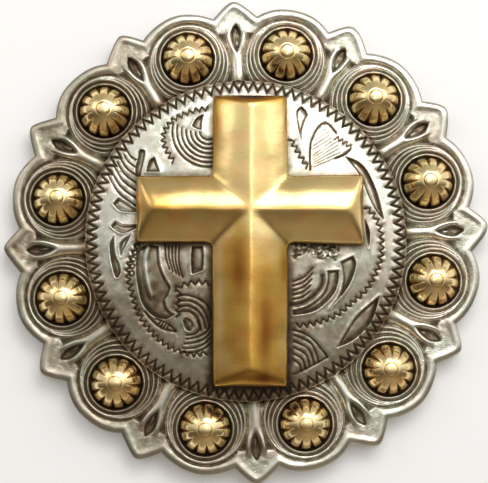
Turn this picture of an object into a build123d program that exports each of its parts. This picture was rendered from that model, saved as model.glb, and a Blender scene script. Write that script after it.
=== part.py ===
from build123d import *
from collections import namedtuple
from math import asin, cos, degrees, radians, sin, sqrt
import os

os.makedirs("parts", exist_ok=True)

# The plate lies face up: +Z out of its face, +Y to the head of the cross, its flat back rim at Z = 0.

# Outline: twelve lobes, with a point between each two
tip_radius = 19.05
tip_rise = 0.42
notch_depth = 0.86
notch_half_angle = 9.4
berry_count = 12
rim_turn = 2.8

# Heights of the plate
edge_height = 2.05
border_rise = 0.45
ring_rise = 0.35
rib_rise = 0.5
band_rise = 0.65
dome_rise = 0.9
recess_depth = 0.5

# Border along the outline
border_width = 0.75
border_bevel = 0.3
border_gap = 0.18

# Berries and the rings round them
berry_radius = 1.88
berry_skirt = 0.3
button_radius = 0.53
button_rise = 0.06
button_bevel = 0.09
flute_count = 12
flute_depth = 0.22
flute_width = 0.5
flute_top_angle = 62.0
socket_clearance = 0.12
socket_depth = 0.2
ring_width = 0.22
ring_pitch = 0.34
outer_ring_step = 0.235
outer_ring_shift = 0.195
ring_groove_depth = 0.25
berry_peg_radius = 0.5
berry_peg_floor = 0.67

# Zigzag border inside the berries
band_width = 0.94
band_overlap = 0.08
tooth_count = 100
zigzag_margin = 0.12
zigzag_line = 0.13
zigzag_depth = 0.16
dome_margin = 0.15
dome_groove_depth = 0.15

# Rib and teardrop at each point
rib_width = 0.86
teardrop_width = 0.83
teardrop_wall = 0.35
teardrop_length = 2.48
teardrop_shoulder = 0.83
teardrop_end_gap = 0.66

# Scroll recesses in the domed middle
scroll_depth = 0.25
shell_groove = 0.13

# Cross
cross_end_margin = 0.42
cross_span = 17.4
upright_width = 5.6
arm_width = 5.2
cross_offset_x = 0.4
cross_offset_y = -0.2
arm_offset_y = 2.4
cross_wall = 0.55
cross_facet_rise = 1.1
upright_hip = 1.15
arm_hip = 1.5
cross_peg_radius = 0.6
cross_peg_wall = 0.4
cross_peg_inset = 3.8

# Dished back and the post in it
dome_wall = 1.1
hollow_margin = 0.3
hollow_draft = 0.5
post_radius = 3.0
post_bore_radius = 1.72
post_seat_depth = 0.35
screw_end_room = 0.25
post_inset = 0.05

# Gap left between pieces that seat on each other
piece_gap = 0.03

# Places worked out from the sizes above
berry_step = 360.0 / berry_count
crown_radius = tip_radius - tip_rise
notch_radius = crown_radius - notch_depth
field_z = edge_height - border_rise
ring_z = field_z + ring_rise
rib_z = field_z + rib_rise
band_z = field_z + band_rise
recess_z = field_z - recess_depth
socket_z = field_z - socket_depth
dome_top_z = band_z + dome_rise

socket_radius = berry_radius + socket_clearance
ring_one = socket_radius + ring_width
ring_two = ring_one + ring_pitch
ring_three = ring_two + outer_ring_step
ring_four = ring_three + outer_ring_step
berry_circle = crown_radius - border_width - border_gap - ring_two - ring_width / 2
third_circle = berry_circle - outer_ring_shift
fourth_circle = third_circle - outer_ring_shift

band_outer = berry_circle - ring_two + band_overlap
band_inner = band_outer - band_width
dome_radius = band_inner - dome_margin
dome_ball = (dome_radius ** 2 + dome_rise ** 2) / (2 * dome_rise)
dome_ball_z = dome_top_z - dome_ball
hollow_radius = dome_radius - hollow_margin
ceiling_ball = dome_ball - dome_wall
ceiling_z = dome_top_z - dome_wall
seat_z = ceiling_z + post_seat_depth

berry_peg_z = berry_peg_floor + piece_gap
berry_base_z = socket_z + piece_gap
berry_dome_z = berry_base_z + berry_skirt
berry_top_z = berry_dome_z + berry_radius

cross_length = 2 * dome_radius - cross_end_margin
cross_foot_z = band_z + piece_gap
cross_peg_place = cross_length / 2 - cross_peg_inset
cross_peg_near = cross_peg_place - cross_peg_radius - abs(cross_offset_y)
cross_peg_z = dome_ball_z + sqrt(ceiling_ball ** 2 - cross_peg_near ** 2) + cross_peg_wall
wall_top_z = dome_top_z + cross_wall
ridge_z = wall_top_z + cross_facet_rise

teardrop_outer = crown_radius - border_width - teardrop_end_gap
teardrop_wide = teardrop_outer - teardrop_shoulder
teardrop_inner = teardrop_outer - teardrop_length


def polar(radius, angle):
    """Point at a radius and an angle in degrees, turned with the berries."""
    return (radius * cos(radians(angle + rim_turn)), radius * sin(radians(angle + rim_turn)))


def rim_outline():
    """Face inside the twelve lobe arcs and the points between them."""
    with BuildSketch() as outline:
        with BuildLine():
            for place in range(berry_count):
                middle = (place + 0.5) * berry_step
                lobe_end = polar(notch_radius, middle + notch_half_angle)
                ThreePointArc(
                    polar(notch_radius, middle - notch_half_angle),
                    polar(crown_radius, middle),
                    lobe_end,
                )
                Polyline(
                    lobe_end,
                    polar(tip_radius, middle + berry_step / 2),
                    polar(notch_radius, middle + berry_step - notch_half_angle),
                )
        make_face()
    return outline.sketch


def berry_discs(circle, radius):
    """One disc at each berry, centred on a circle of the plate."""
    with BuildSketch() as discs:
        with PolarLocations(circle, berry_count, start_angle=rim_turn + berry_step / 2):
            Circle(radius)
    return discs.sketch


def cross_peg_discs(radius):
    """One disc under each end of the upright."""
    with BuildSketch() as discs:
        for side in (1, -1):
            with Locations((cross_offset_x, cross_offset_y + side * cross_peg_place)):
                Circle(radius)
    return discs.sketch


def at_each_point(shape):
    """Copies of a flat shape drawn on the X axis, one on the line to each point of the outline."""
    with BuildSketch() as copies:
        with PolarLocations(0, berry_count, start_angle=rim_turn):
            add(shape)
    return copies.sketch


def teardrop_outline(swell):
    """Teardrop on the X axis, made wider and longer all round by a swell."""
    half = teardrop_width / 2 + swell
    inner = teardrop_inner - swell
    outer = teardrop_outer + swell
    with BuildSketch() as drop:
        with BuildLine():
            for side in (1, -1):
                ThreePointArc(
                    (inner, 0),
                    ((inner + teardrop_wide) / 2, side * half * 0.66),
                    (teardrop_wide, side * half),
                )
                ThreePointArc(
                    (teardrop_wide, side * half),
                    ((teardrop_wide + outer) / 2, side * half * 0.8),
                    (outer, 0),
                )
        make_face()
    return drop.sketch


def rib_outline():
    """Rib from the zigzag border to a point, widened round the teardrop."""
    with BuildSketch() as rib:
        with BuildLine():
            Polyline(
                (band_outer - band_overlap, -rib_width / 2),
                (teardrop_inner + rib_width / 2, -rib_width / 2),
                (teardrop_inner + rib_width / 2, rib_width / 2),
                (band_outer - band_overlap, rib_width / 2),
                close=True,
            )
        make_face()
        add(teardrop_outline(teardrop_wall))
    return rib.sketch


def zigzag_outline(shift):
    """Closed zigzag ring whose corners lie on two circles, moved outwards by a shift."""
    low = band_inner + zigzag_margin + shift
    high = band_outer - zigzag_margin + shift
    step = 360.0 / tooth_count
    corners = []
    for tooth in range(tooth_count):
        corners.append(polar(low, tooth * step))
        corners.append(polar(high, (tooth + 0.5) * step))
    with BuildSketch() as ring:
        with BuildLine():
            Polyline(*corners, close=True)
        make_face()
    return ring.sketch


# Leaves of the scroll work: two pointed ends and the middle of each side, as shares of the dome's radius
Leaf = namedtuple("Leaf", "start_x start_y side_x side_y end_x end_y back_x back_y")
scroll_leaves = [
    Leaf(-0.718, 0.614, -0.762, 0.518, -0.759, 0.421, -0.711, 0.511),
    Leaf(-0.632, 0.552, -0.673, 0.483, -0.639, 0.428, -0.595, 0.483),
    Leaf(-0.927, 0.082, -0.845, 0.058, -0.749, 0.089, -0.851, 0.020),
    Leaf(-0.913, 0.006, -0.923, -0.139, -0.886, -0.284, -0.879, -0.132),
    Leaf(-0.797, 0.020, -0.851, -0.042, -0.861, -0.146, -0.803, -0.063),
    Leaf(-0.673, -0.042, -0.735, -0.360, -0.468, -0.540, -0.584, -0.243),
    Leaf(-0.701, -0.498, -0.639, -0.574, -0.557, -0.595, -0.618, -0.519),
    Leaf(-0.468, -0.388, -0.358, -0.415, -0.262, -0.540, -0.386, -0.498),
    Leaf(-0.468, -0.650, -0.399, -0.712, -0.269, -0.719, -0.372, -0.657),
    Leaf(0.382, 0.912, 0.344, 0.829, 0.388, 0.621, 0.433, 0.829),
    Leaf(0.436, 0.469, 0.477, 0.732, 0.621, 0.732, 0.519, 0.656),
    Leaf(0.642, 0.552, 0.861, 0.393, 0.943, 0.131, 0.799, 0.386),
    Leaf(0.813, 0.117, 0.851, 0.027, 0.840, -0.077, 0.823, 0.020),
    Leaf(0.683, -0.139, 0.745, -0.291, 0.566, -0.491, 0.662, -0.305),
    Leaf(0.594, -0.222, 0.587, -0.415, 0.313, -0.519, 0.505, -0.374),
    Leaf(0.902, -0.408, 0.792, -0.588, 0.614, -0.747, 0.731, -0.547),
    Leaf(0.313, -0.630, 0.464, -0.650, 0.553, -0.809, 0.423, -0.706),
]

# Shell beside the head of the cross: arcs round one centre, as shares of the dome's radius
shell_x = -0.262
shell_y = 0.704
shell_radii = (0.24, 0.185, 0.13)
shell_from = 155.0
shell_to = 255.0


def leaf_face(leaf):
    """Face of one leaf between its two arcs."""
    start = (leaf.start_x * dome_radius, leaf.start_y * dome_radius)
    end = (leaf.end_x * dome_radius, leaf.end_y * dome_radius)
    with BuildSketch() as face:
        with BuildLine():
            ThreePointArc(start, (leaf.side_x * dome_radius, leaf.side_y * dome_radius), end)
            ThreePointArc(end, (leaf.back_x * dome_radius, leaf.back_y * dome_radius), start)
        make_face()
    return face.sketch


def shell_face(share):
    """Face of one groove of the shell."""
    centre = (shell_x * dome_radius, shell_y * dome_radius)
    with BuildSketch() as face:
        with BuildLine():
            CenterArc(centre, share * dome_radius, shell_from, shell_to - shell_from)
        trace(line_width=shell_groove)
    return face.sketch


# Engraving: the leaves and the shell as a cutter that follows the dome at one depth
with BuildPart() as engraving:
    with BuildSketch(Plane.XY.offset(band_z - scroll_depth)):
        for leaf in scroll_leaves:
            add(leaf_face(leaf))
        for share in shell_radii:
            add(shell_face(share))
    extrude(amount=dome_rise + 2 * scroll_depth)
    with Locations((0, 0, dome_ball_z)):
        Sphere(dome_ball - scroll_depth, mode=Mode.SUBTRACT)

# Base plate: one casting
with BuildPart() as base_plate:
    with BuildSketch():
        add(rim_outline())
    extrude(amount=edge_height)
    chamfer(base_plate.faces().sort_by(Axis.Z)[-1].edges(), length=border_bevel)

    # Sandy flat inside the border
    with BuildSketch(Plane.XY.offset(field_z)):
        add(rim_outline())
        offset(amount=-border_width, mode=Mode.REPLACE)
    extrude(amount=border_rise, mode=Mode.SUBTRACT)

    # Crescent recesses between the ribs and the outermost rings
    with BuildSketch(Plane.XY.offset(recess_z)):
        Circle(teardrop_wide)
        Circle(band_inner, mode=Mode.SUBTRACT)
        add(berry_discs(fourth_circle, ring_four + ring_width / 2), mode=Mode.SUBTRACT)
    extrude(amount=recess_depth, mode=Mode.SUBTRACT)

    # Ringed pads round the berries
    with BuildSketch(Plane.XY.offset(recess_z)):
        add(berry_discs(fourth_circle, ring_four + ring_width / 2))
        add(berry_discs(third_circle, ring_three + ring_width / 2))
        add(berry_discs(berry_circle, ring_two + ring_width / 2))
    extrude(amount=ring_z - recess_z)

    # Ribs to the points
    with BuildSketch(Plane.XY.offset(recess_z)):
        add(at_each_point(rib_outline()))
    extrude(amount=rib_z - recess_z)

    # Raised middle up to the zigzag border, and the dome on it
    with BuildSketch(Plane.XY.offset(recess_z)):
        Circle(band_outer)
    extrude(amount=band_z - recess_z)
    with BuildSketch(Plane.XZ):
        with BuildLine():
            Polyline((0, dome_top_z), (0, band_z - dome_groove_depth),
                     (dome_radius, band_z - dome_groove_depth), (dome_radius, band_z))
            rise_angle = degrees(asin(dome_radius / dome_ball)) / 2
            ThreePointArc(
                (dome_radius, band_z),
                (dome_ball * sin(radians(rise_angle)), dome_ball_z + dome_ball * cos(radians(rise_angle))),
                (0, dome_top_z),
            )
        make_face()
    revolve(axis=Axis.Z)

    # Grooves between the rings, sockets for the berries and holes for their pegs
    with BuildSketch(Plane.XY.offset(ring_z - ring_groove_depth)):
        add(berry_discs(fourth_circle, ring_four - ring_width / 2))
        add(berry_discs(third_circle, ring_three + ring_width / 2), mode=Mode.SUBTRACT)
        add(berry_discs(third_circle, ring_three - ring_width / 2))
        add(berry_discs(berry_circle, ring_two + ring_width / 2), mode=Mode.SUBTRACT)
        add(berry_discs(berry_circle, ring_two - ring_width / 2))
        add(berry_discs(berry_circle, ring_one + ring_width / 2), mode=Mode.SUBTRACT)
        Circle(band_outer, mode=Mode.SUBTRACT)
    extrude(amount=ring_rise, mode=Mode.SUBTRACT)
    with BuildSketch(Plane.XY.offset(socket_z)):
        add(berry_discs(berry_circle, socket_radius))
    extrude(amount=band_z - socket_z, mode=Mode.SUBTRACT)
    with BuildSketch(Plane.XY.offset(berry_peg_floor)):
        add(berry_discs(berry_circle, berry_peg_radius + piece_gap))
    extrude(amount=socket_z - berry_peg_floor, mode=Mode.SUBTRACT)

    # Teardrop recesses at the points
    with BuildSketch(Plane.XY.offset(recess_z)):
        add(at_each_point(teardrop_outline(0)))
    extrude(amount=rib_z - recess_z, mode=Mode.SUBTRACT)

    # Zigzag cut into the border, and the groove inside it
    with BuildSketch(Plane.XY.offset(band_z - zigzag_depth)):
        add(zigzag_outline(zigzag_line / 2))
        add(zigzag_outline(-zigzag_line / 2), mode=Mode.SUBTRACT)
        Circle(band_inner)
        Circle(dome_radius, mode=Mode.SUBTRACT)
    extrude(amount=zigzag_depth, mode=Mode.SUBTRACT)

    # Scroll work
    add(engraving.part, mode=Mode.SUBTRACT)

    # Holes for the pegs of the cross
    with BuildSketch(Plane.XY.offset(cross_peg_z)):
        add(cross_peg_discs(cross_peg_radius + piece_gap))
    extrude(amount=dome_top_z - cross_peg_z, mode=Mode.SUBTRACT)

    # Dished back, the seat of the post, and room above the post for the screw's end
    with BuildSketch(Plane.XZ):
        with BuildLine():
            wall_radius = hollow_radius - hollow_draft
            wall_top = dome_ball_z + sqrt(ceiling_ball ** 2 - wall_radius ** 2)
            half_angle = degrees(asin(wall_radius / ceiling_ball)) / 2
            Polyline((0, ceiling_z), (0, 0), (hollow_radius, 0), (wall_radius, wall_top))
            ThreePointArc(
                (wall_radius, wall_top),
                (
                    ceiling_ball * sin(radians(half_angle)),
                    dome_ball_z + ceiling_ball * cos(radians(half_angle)),
                ),
                (0, ceiling_z),
            )
        make_face()
    revolve(axis=Axis.Z, mode=Mode.SUBTRACT)
    with BuildSketch():
        Circle(post_radius + piece_gap)
    extrude(amount=seat_z, mode=Mode.SUBTRACT)
    with BuildSketch():
        Circle(post_bore_radius)
    extrude(amount=seat_z + screw_end_room, mode=Mode.SUBTRACT)

base_plate.part.label = "base_plate"
export_step(base_plate.part, "parts/base_plate.step")

# Screw post: a plain internally threaded sleeve, seated in the ceiling of the dished back
with BuildPart() as screw_post:
    with BuildSketch(Plane.XY.offset(post_inset)):
        Circle(post_radius)
        Circle(post_bore_radius, mode=Mode.SUBTRACT)
    extrude(amount=seat_z - piece_gap - post_inset)

screw_post.part.label = "screw_post"
export_step(screw_post.part, "parts/screw_post.step")

# Cross: an upright and arms with straight walls, hipped facets above, on a foot that follows the dome
def hipped_bar(length, width, hip):
    """Hipped roof along X over the walls of one bar of the cross."""
    with BuildPart() as bar:
        with BuildSketch(Plane.YZ):
            with BuildLine():
                Polyline((-width / 2, wall_top_z), (width / 2, wall_top_z), (0, ridge_z), close=True)
            make_face()
        extrude(amount=length / 2, both=True)
        with BuildSketch(Plane.XZ):
            with BuildLine():
                Polyline(
                    (-length / 2, wall_top_z),
                    (length / 2, wall_top_z),
                    (length / 2 - hip, ridge_z),
                    (hip - length / 2, ridge_z),
                    close=True,
                )
            make_face()
        extrude(amount=width, both=True, mode=Mode.INTERSECT)
    return bar.part


with BuildPart() as cross:
    with BuildSketch(Plane.XY.offset(cross_foot_z)):
        with Locations((cross_offset_x, cross_offset_y)):
            Rectangle(upright_width, cross_length)
        with Locations((cross_offset_x, arm_offset_y)):
            Rectangle(cross_span, arm_width)
    extrude(amount=wall_top_z - cross_foot_z)
    with Locations((cross_offset_x, cross_offset_y)):
        add(hipped_bar(cross_length, upright_width, upright_hip), rotation=(0, 0, 90))
    with Locations((cross_offset_x, arm_offset_y)):
        add(hipped_bar(cross_span, arm_width, arm_hip))
    with Locations((0, 0, dome_ball_z)):
        Sphere(dome_ball + piece_gap, mode=Mode.SUBTRACT)
    with BuildSketch(Plane.XY.offset(cross_peg_z + piece_gap)):
        add(cross_peg_discs(cross_peg_radius))
    extrude(amount=wall_top_z - cross_peg_z - piece_gap)

cross.part.label = "cross"
export_step(cross.part, "parts/cross.step")

# Berries: a fluted dome with a button, on a peg
with BuildPart() as flute:
    with BuildSketch(Plane.XY.offset(berry_dome_z)) as flute_section:
        with BuildLine():
            Polyline(
                (berry_radius - flute_depth, 0),
                (berry_radius + flute_depth, flute_width),
                (berry_radius + flute_depth, -flute_width),
                close=True,
            )
        make_face()
    revolve(axis=Axis((0, 0, berry_dome_z), (0, 1, 0)), revolution_arc=-flute_top_angle)
    extrude(flute_section.sketch, amount=-2 * berry_skirt)

with BuildPart() as berry:
    with BuildSketch(Plane.XZ):
        with BuildLine():
            Polyline((0, berry_top_z), (0, berry_base_z), (berry_radius, berry_base_z),
                     (berry_radius, berry_dome_z))
            ThreePointArc(
                (berry_radius, berry_dome_z),
                (berry_radius * sin(radians(45)), berry_dome_z + berry_radius * cos(radians(45))),
                (0, berry_top_z),
            )
        make_face()
    revolve(axis=Axis.Z)
    with PolarLocations(0, flute_count):
        add(flute.part, mode=Mode.SUBTRACT)
    with BuildSketch(Plane.XY.offset(berry_dome_z)):
        Circle(button_radius)
    extrude(amount=berry_radius + button_rise)
    chamfer(berry.faces().sort_by(Axis.Z)[-1].edges(), length=button_bevel)
    with BuildSketch(Plane.XY.offset(berry_peg_z)):
        Circle(berry_peg_radius)
    extrude(amount=berry_base_z - berry_peg_z)

for place in range(berry_count):
    with BuildPart() as seated_berry:
        turn = rim_turn + (place + 0.5) * berry_step
        with Locations(Rotation(0, 0, turn) * Pos(berry_circle, 0, 0)):
            add(berry.part)
    seated_berry.part.label = f"berry_{place + 1:02d}"
    export_step(seated_berry.part, f"parts/berry_{place + 1:02d}.step")
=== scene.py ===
import logging
import math
from dataclasses import dataclass, field
from enum import Enum

import bpy
import numpy as np
from mathutils import Matrix, Vector, noise


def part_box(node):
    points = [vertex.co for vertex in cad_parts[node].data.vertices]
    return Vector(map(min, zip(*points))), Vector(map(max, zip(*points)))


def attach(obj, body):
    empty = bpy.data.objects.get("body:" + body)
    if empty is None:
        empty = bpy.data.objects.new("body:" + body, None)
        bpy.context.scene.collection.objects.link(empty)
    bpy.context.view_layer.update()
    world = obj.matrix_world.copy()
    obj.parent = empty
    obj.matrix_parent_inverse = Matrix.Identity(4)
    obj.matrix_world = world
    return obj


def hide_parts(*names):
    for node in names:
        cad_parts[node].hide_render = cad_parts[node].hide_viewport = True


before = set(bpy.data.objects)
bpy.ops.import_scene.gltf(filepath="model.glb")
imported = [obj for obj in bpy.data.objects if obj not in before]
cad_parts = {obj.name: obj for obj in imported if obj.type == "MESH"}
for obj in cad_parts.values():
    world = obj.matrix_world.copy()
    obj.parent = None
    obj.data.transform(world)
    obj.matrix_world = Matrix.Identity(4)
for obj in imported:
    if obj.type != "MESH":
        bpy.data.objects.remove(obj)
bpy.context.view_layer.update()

LOG = logging.getLogger("concho")
MM = 0.001
BODY = "root"

Point = tuple[float, float]
Triple = tuple[float, float, float]
Stops = tuple[tuple[float, Triple], ...]
Grid = np.ndarray
Window = tuple[slice, slice]
Piece = bpy.types.Object
Material = bpy.types.Material
Node = bpy.types.Node
Socket = bpy.types.NodeSocket
Tree = bpy.types.NodeTree

# Photo frame: where the plate's middle lies in it, and how long a pixel is on the dome
PHOTO_MIDDLE_X = 244.3
PHOTO_MIDDLE_Y = 241.9
PIXEL_MM = 0.0780
PIXEL_ROW_MM = 0.0788


def from_photo(place: Point) -> Point:
    """Turn a column and row of the photo's 488 by 483 frame into millimetres from the plate's middle."""
    return (place[0] - PHOTO_MIDDLE_X) * PIXEL_MM, (PHOTO_MIDDLE_Y - place[1]) * PIXEL_ROW_MM


# Small helpers for modelling with operators

def deselect_all() -> None:
    """Leave edit mode and deselect every object."""
    if bpy.context.object is not None and bpy.context.object.mode != "OBJECT":
        bpy.ops.object.mode_set(mode="OBJECT")
    bpy.ops.object.select_all(action="DESELECT")


def make_active(piece: Piece) -> None:
    """Select one object alone and make it the active one.

    Args:
        piece: the object to work on.
    """
    deselect_all()
    piece.select_set(True)
    bpy.context.view_layer.objects.active = piece


def edit_all() -> None:
    """Enter edit mode with the whole mesh selected."""
    bpy.ops.object.mode_set(mode="EDIT")
    bpy.ops.mesh.select_all(action="SELECT")


def close_mesh(reach: float) -> None:
    """Merge the active mesh's doubles, turn its faces outwards and leave edit mode.

    Args:
        reach: how near two doubles lie, in millimetres.
    """
    edit_all()
    bpy.ops.mesh.remove_doubles(threshold=reach * MM)
    bpy.ops.mesh.normals_make_consistent(inside=False)
    bpy.ops.object.mode_set(mode="OBJECT")


def name_piece(name: str) -> Piece:
    """Name the object that an operator has just made, and its mesh.

    Args:
        name: plain name of the piece.

    Returns:
        The named object.
    """
    piece = bpy.context.object
    piece.name = name
    piece.data.name = name
    return piece


def apply_modifier(piece: Piece, kind: str, **settings: object) -> None:
    """Add a modifier with its settings and apply it.

    Args:
        piece: the mesh object.
        kind: the modifier's type, such as "DECIMATE".
        settings: values of the modifier's own properties.
    """
    make_active(piece)
    modifier = piece.modifiers.new(kind.lower(), kind)
    for key, value in settings.items():
        setattr(modifier, key, value)
    bpy.ops.object.modifier_apply(modifier=modifier.name)


def coordinates(piece: Piece) -> Grid:
    """Read a mesh's vertices.

    Args:
        piece: the mesh object.

    Returns:
        One row of x, y, z in millimetres for each vertex.
    """
    flat = np.zeros(len(piece.data.vertices) * 3)
    piece.data.vertices.foreach_get("co", flat)
    return flat.reshape(-1, 3) / MM


def set_coordinates(piece: Piece, places: Grid) -> None:
    """Write a mesh's vertices, one row of x, y, z in millimetres for each."""
    piece.data.vertices.foreach_set("co", (places * MM).astype(np.float32).ravel())
    piece.data.update()


def set_attribute(piece: Piece, name: str, values: Grid) -> None:
    """Keep one number for each vertex, from 0 to 1, which the materials read by name."""
    layer = piece.data.attributes.new(name, "FLOAT", "POINT")
    layer.data.foreach_set("value", np.clip(values, 0.0, 1.0).astype(np.float32))


def lathe(name: str, profile: list[Point], steps: int, turn: float = 0.0,
          cuts: dict[int, int] | None = None) -> Piece:
    """Extrude one vertex along a profile and turn it round the Z axis.

    Args:
        name: name of the new piece.
        profile: radius and height of each point, in millimetres.
        steps: copies round the axis.
        turn: angle in degrees at which the turn starts.
        cuts: how many even cuts the edge after a profile point gets, by the point's number.

    Returns:
        The turned object, with doubles merged and normals outwards.
    """
    deselect_all()
    bpy.ops.mesh.primitive_plane_add(size=MM)
    piece = name_piece(name)
    edit_all()
    bpy.ops.mesh.merge(type="CENTER")
    ends = [Vector((radius, 0.0, height)) * MM for radius, height in profile]
    bpy.ops.transform.translate(value=ends[0])
    for number, (start, end) in enumerate(zip(ends, ends[1:])):
        runs = (cuts or {}).get(number, 0) + 1
        for _ in range(runs):
            bpy.ops.mesh.extrude_region_move(TRANSFORM_OT_translate={"value": (end - start) / runs})
    bpy.ops.mesh.select_all(action="SELECT")
    bpy.ops.transform.rotate(value=-math.radians(turn), orient_axis="Z", center_override=(0.0, 0.0, 0.0))
    bpy.ops.object.mode_set(mode="OBJECT")
    apply_modifier(piece, "SCREW", axis="Z", angle=2 * math.pi, steps=steps, render_steps=steps,
                   use_merge_vertices=True, merge_threshold=0.002 * MM)
    close_mesh(0.002)
    return piece


def smooth_step(low: float, high: float, values: Grid) -> Grid:
    """Rise softly from 0 where the values are at low to 1 where they are at high."""
    share = np.clip((values - low) / (high - low), 0.0, 1.0)
    return share * share * (3.0 - 2.0 * share)


def round_top(distance: Grid, half: float) -> Grid:
    """Height of a rounded ridge or groove, 1 on its middle line and 0 at its half width."""
    return np.clip(1.0 - (distance / half) ** 2, 0.0, 1.0)


def vee(distance: Grid, half: float) -> Grid:
    """Depth of a cut with straight walls, 1 on its middle line and 0 at its half width."""
    return np.clip(1.0 - np.abs(distance) / half, 0.0, 1.0)


def smooth_line(points: list[Point], spans: int = 6) -> list[Point]:
    """Run a smooth curve through a few points.

    Args:
        points: places that the curve passes through.
        spans: straight runs for each stretch between two points.

    Returns:
        The curve's own points.
    """
    if len(points) < 3:
        return list(points)
    padded = [points[0], *points, points[-1]]
    line = [points[0]]
    for before, start, end, after in zip(padded, padded[1:], padded[2:], padded[3:]):
        for step in range(1, spans + 1):
            t = step / spans
            line.append(tuple(
                0.5 * (2 * start[axis] + (end[axis] - before[axis]) * t
                       + (2 * before[axis] - 5 * start[axis] + 4 * end[axis] - after[axis]) * t ** 2
                       + (3 * start[axis] - before[axis] - 3 * end[axis] + after[axis]) * t ** 3)
                for axis in (0, 1)))
    return line


def photo_line(places: tuple[Point, ...]) -> list[Point]:
    """Run a smooth curve, in millimetres, through a few places in the photo."""
    return smooth_line([from_photo(place) for place in places])


@dataclass(frozen=True)
class PaintedLightPatch:
    """One soft patch on the cross, in the photo's frame: painted shade where its amount is above 0, painted
    reflection where it is below.
    """

    middle: Point
    reach: Point
    amount: float


# Painted reflections and painted shade on the cross's facets
CROSS_PAINTED_REFLECTIONS = (
    PaintedLightPatch((236, 268), (10, 36), 0.5), PaintedLightPatch((229, 330), (9, 26), 0.14), PaintedLightPatch((217, 300), (4, 60), -0.16),
    PaintedLightPatch((262, 228), (9, 13), -0.3), PaintedLightPatch((282, 270), (5, 22), 0.4), PaintedLightPatch((262, 335), (8, 52), 0.42),
    PaintedLightPatch((285, 330), (3, 40), -0.1), PaintedLightPatch((240, 345), (12, 25), 0.14), PaintedLightPatch((248, 103), (36, 6), 0.95),
    PaintedLightPatch((214, 130), (5, 44), 0.42), PaintedLightPatch((282, 130), (3, 40), 0.2), PaintedLightPatch((175, 182), (34, 7), 0.16),
    PaintedLightPatch((325, 190), (34, 12), -0.1), PaintedLightPatch((188, 213), (50, 5), 0.22), PaintedLightPatch((312, 212), (44, 3), 0.16),
    PaintedLightPatch((190, 238), (50, 9), -0.14), PaintedLightPatch((247, 379), (34, 5), 0.36), PaintedLightPatch((270, 300), (14, 60), 0.1),
    PaintedLightPatch((315, 232), (44, 11), -0.34), PaintedLightPatch((227, 135), (7, 26), -0.12),
)


# Scroll engraving of the dome, read in the photo

class Mark(Enum):
    """How a line of the engraving is cut."""

    GROOVE = "groove"
    TEETH = "teeth"
    BEADS = "beads"
    SCRATCH = "scratch"


@dataclass(frozen=True)
class Stroke:
    """How one stroke of the graver cuts: half its width, its depth, and how dark its middle is."""

    half_width: float = 0.08
    depth: float = 0.12
    shade: float = 0.8


PLAIN_STROKE = Stroke()
FAINT_TEETH_STROKE = Stroke(0.06, 0.08)
BROAD_STROKE = Stroke(0.19, 0.17)
BEAD_STROKE = Stroke(0.08, 0.1)
SHELL_STROKE = Stroke(0.078, 0.11, 0.75)
HATCH_STROKES = {Mark.GROOVE: Stroke(0.075, 0.1, 0.75), Mark.SCRATCH: Stroke(0.05, 0.035, 0.5)}


@dataclass(frozen=True)
class Line:
    """One engraved line through a few places in the photo."""

    places: tuple[Point, ...]
    mark: Mark = Mark.GROOVE
    stroke: Stroke = PLAIN_STROKE


@dataclass(frozen=True)
class Leaf:
    """One sunk leaf in the photo's frame. Each side starts in the corner that ends the one before."""

    sides: tuple[tuple[Point, ...], ...]
    depth: float = 0.2
    ridge: tuple[Point, ...] = ()


@dataclass(frozen=True)
class Shell:
    """Arcs round one centre, in the photo's frame. Angles are in degrees from the right, upwards."""

    centre: Point
    outer: float
    pitch: float
    count: int
    start: float
    end: float
    turn_step: float


@dataclass(frozen=True)
class Hatch:
    """Lines that sweep from one guide to another, each through the same bulge."""

    from_first: Point
    from_last: Point
    to_first: Point
    to_last: Point
    count: int
    bulge: float
    mark: Mark = Mark.GROOVE


SCROLL_LINES = (
    Line(((206, 109), (198, 110), (181, 115), (167, 123), (159, 137), (161, 152),
          (170, 167)), Mark.TEETH),
    Line(((136, 242), (127, 260), (124, 278), (129, 299), (137, 320), (152, 339), (170, 352), (192, 358),
          (205, 356)), Mark.TEETH),
    Line(((135.6, 249), (131.5, 262), (129.8, 276)), Mark.BEADS),
    Line(((174, 294), (181, 290), (194, 287), (207, 288)), Mark.TEETH),
    Line(((175.5, 293), (174, 305), (174.5, 319)), Mark.TEETH),
    Line(((176, 297.5), (186, 297.5), (198, 301.5), (206, 309), (210.5, 321))),
    Line(((176.5, 303), (188, 303), (198, 308), (204, 316), (208, 328))),
    Line(((176.5, 308.5), (187, 308), (195.5, 312.5), (201, 320), (204, 330))),
    Line(((176.5, 313.5), (186, 313), (193, 317), (197.5, 324), (199, 332))),
    Line(((196, 323), (198, 330), (193, 335.5), (185, 336.5))),
    Line(((208, 329), (203, 335), (195, 338.5), (185, 340.5))),
    Line(((209, 334), (203, 340), (194, 343.5), (183, 345))),
    Line(((209, 339), (202, 345.5), (192, 349), (181.5, 349.5))),
    Line(((209, 345), (201, 350.5), (191, 353.5), (181, 353))),
    Line(((143.5, 313.5), (152, 323.5), (162, 330.5), (174.5, 333))),
    Line(((155, 320.5), (163, 324), (170, 328.5), (174.5, 333))),
    Line(((308, 173), (308.4, 150), (310.9, 140.7), (315.8, 131), (321.2, 126), (326.6, 126),
          (331, 130.4), (335, 135.5))),
    Line(((333, 142), (341, 146), (349, 152)), Mark.TEETH, FAINT_TEETH_STROKE),
    Line(((349, 152), (343, 157), (334, 161))),
    Line(((287, 143), (293, 155), (304, 172)), Mark.TEETH),
    Line(((363, 211), (374, 225), (378, 245), (375, 267), (362, 291), (349, 302), (336, 313), (321, 320),
          (305, 324), (294, 325)), Mark.TEETH),
    Line(((320, 278), (319, 288), (311, 298), (300, 305), (290, 307)), Mark.GROOVE, BROAD_STROKE),
    Line(((290, 331.5), (300, 334), (310, 340), (319, 350), (325, 357.5))),
    Line(((325, 358), (310, 366), (292, 375))),
)

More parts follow.
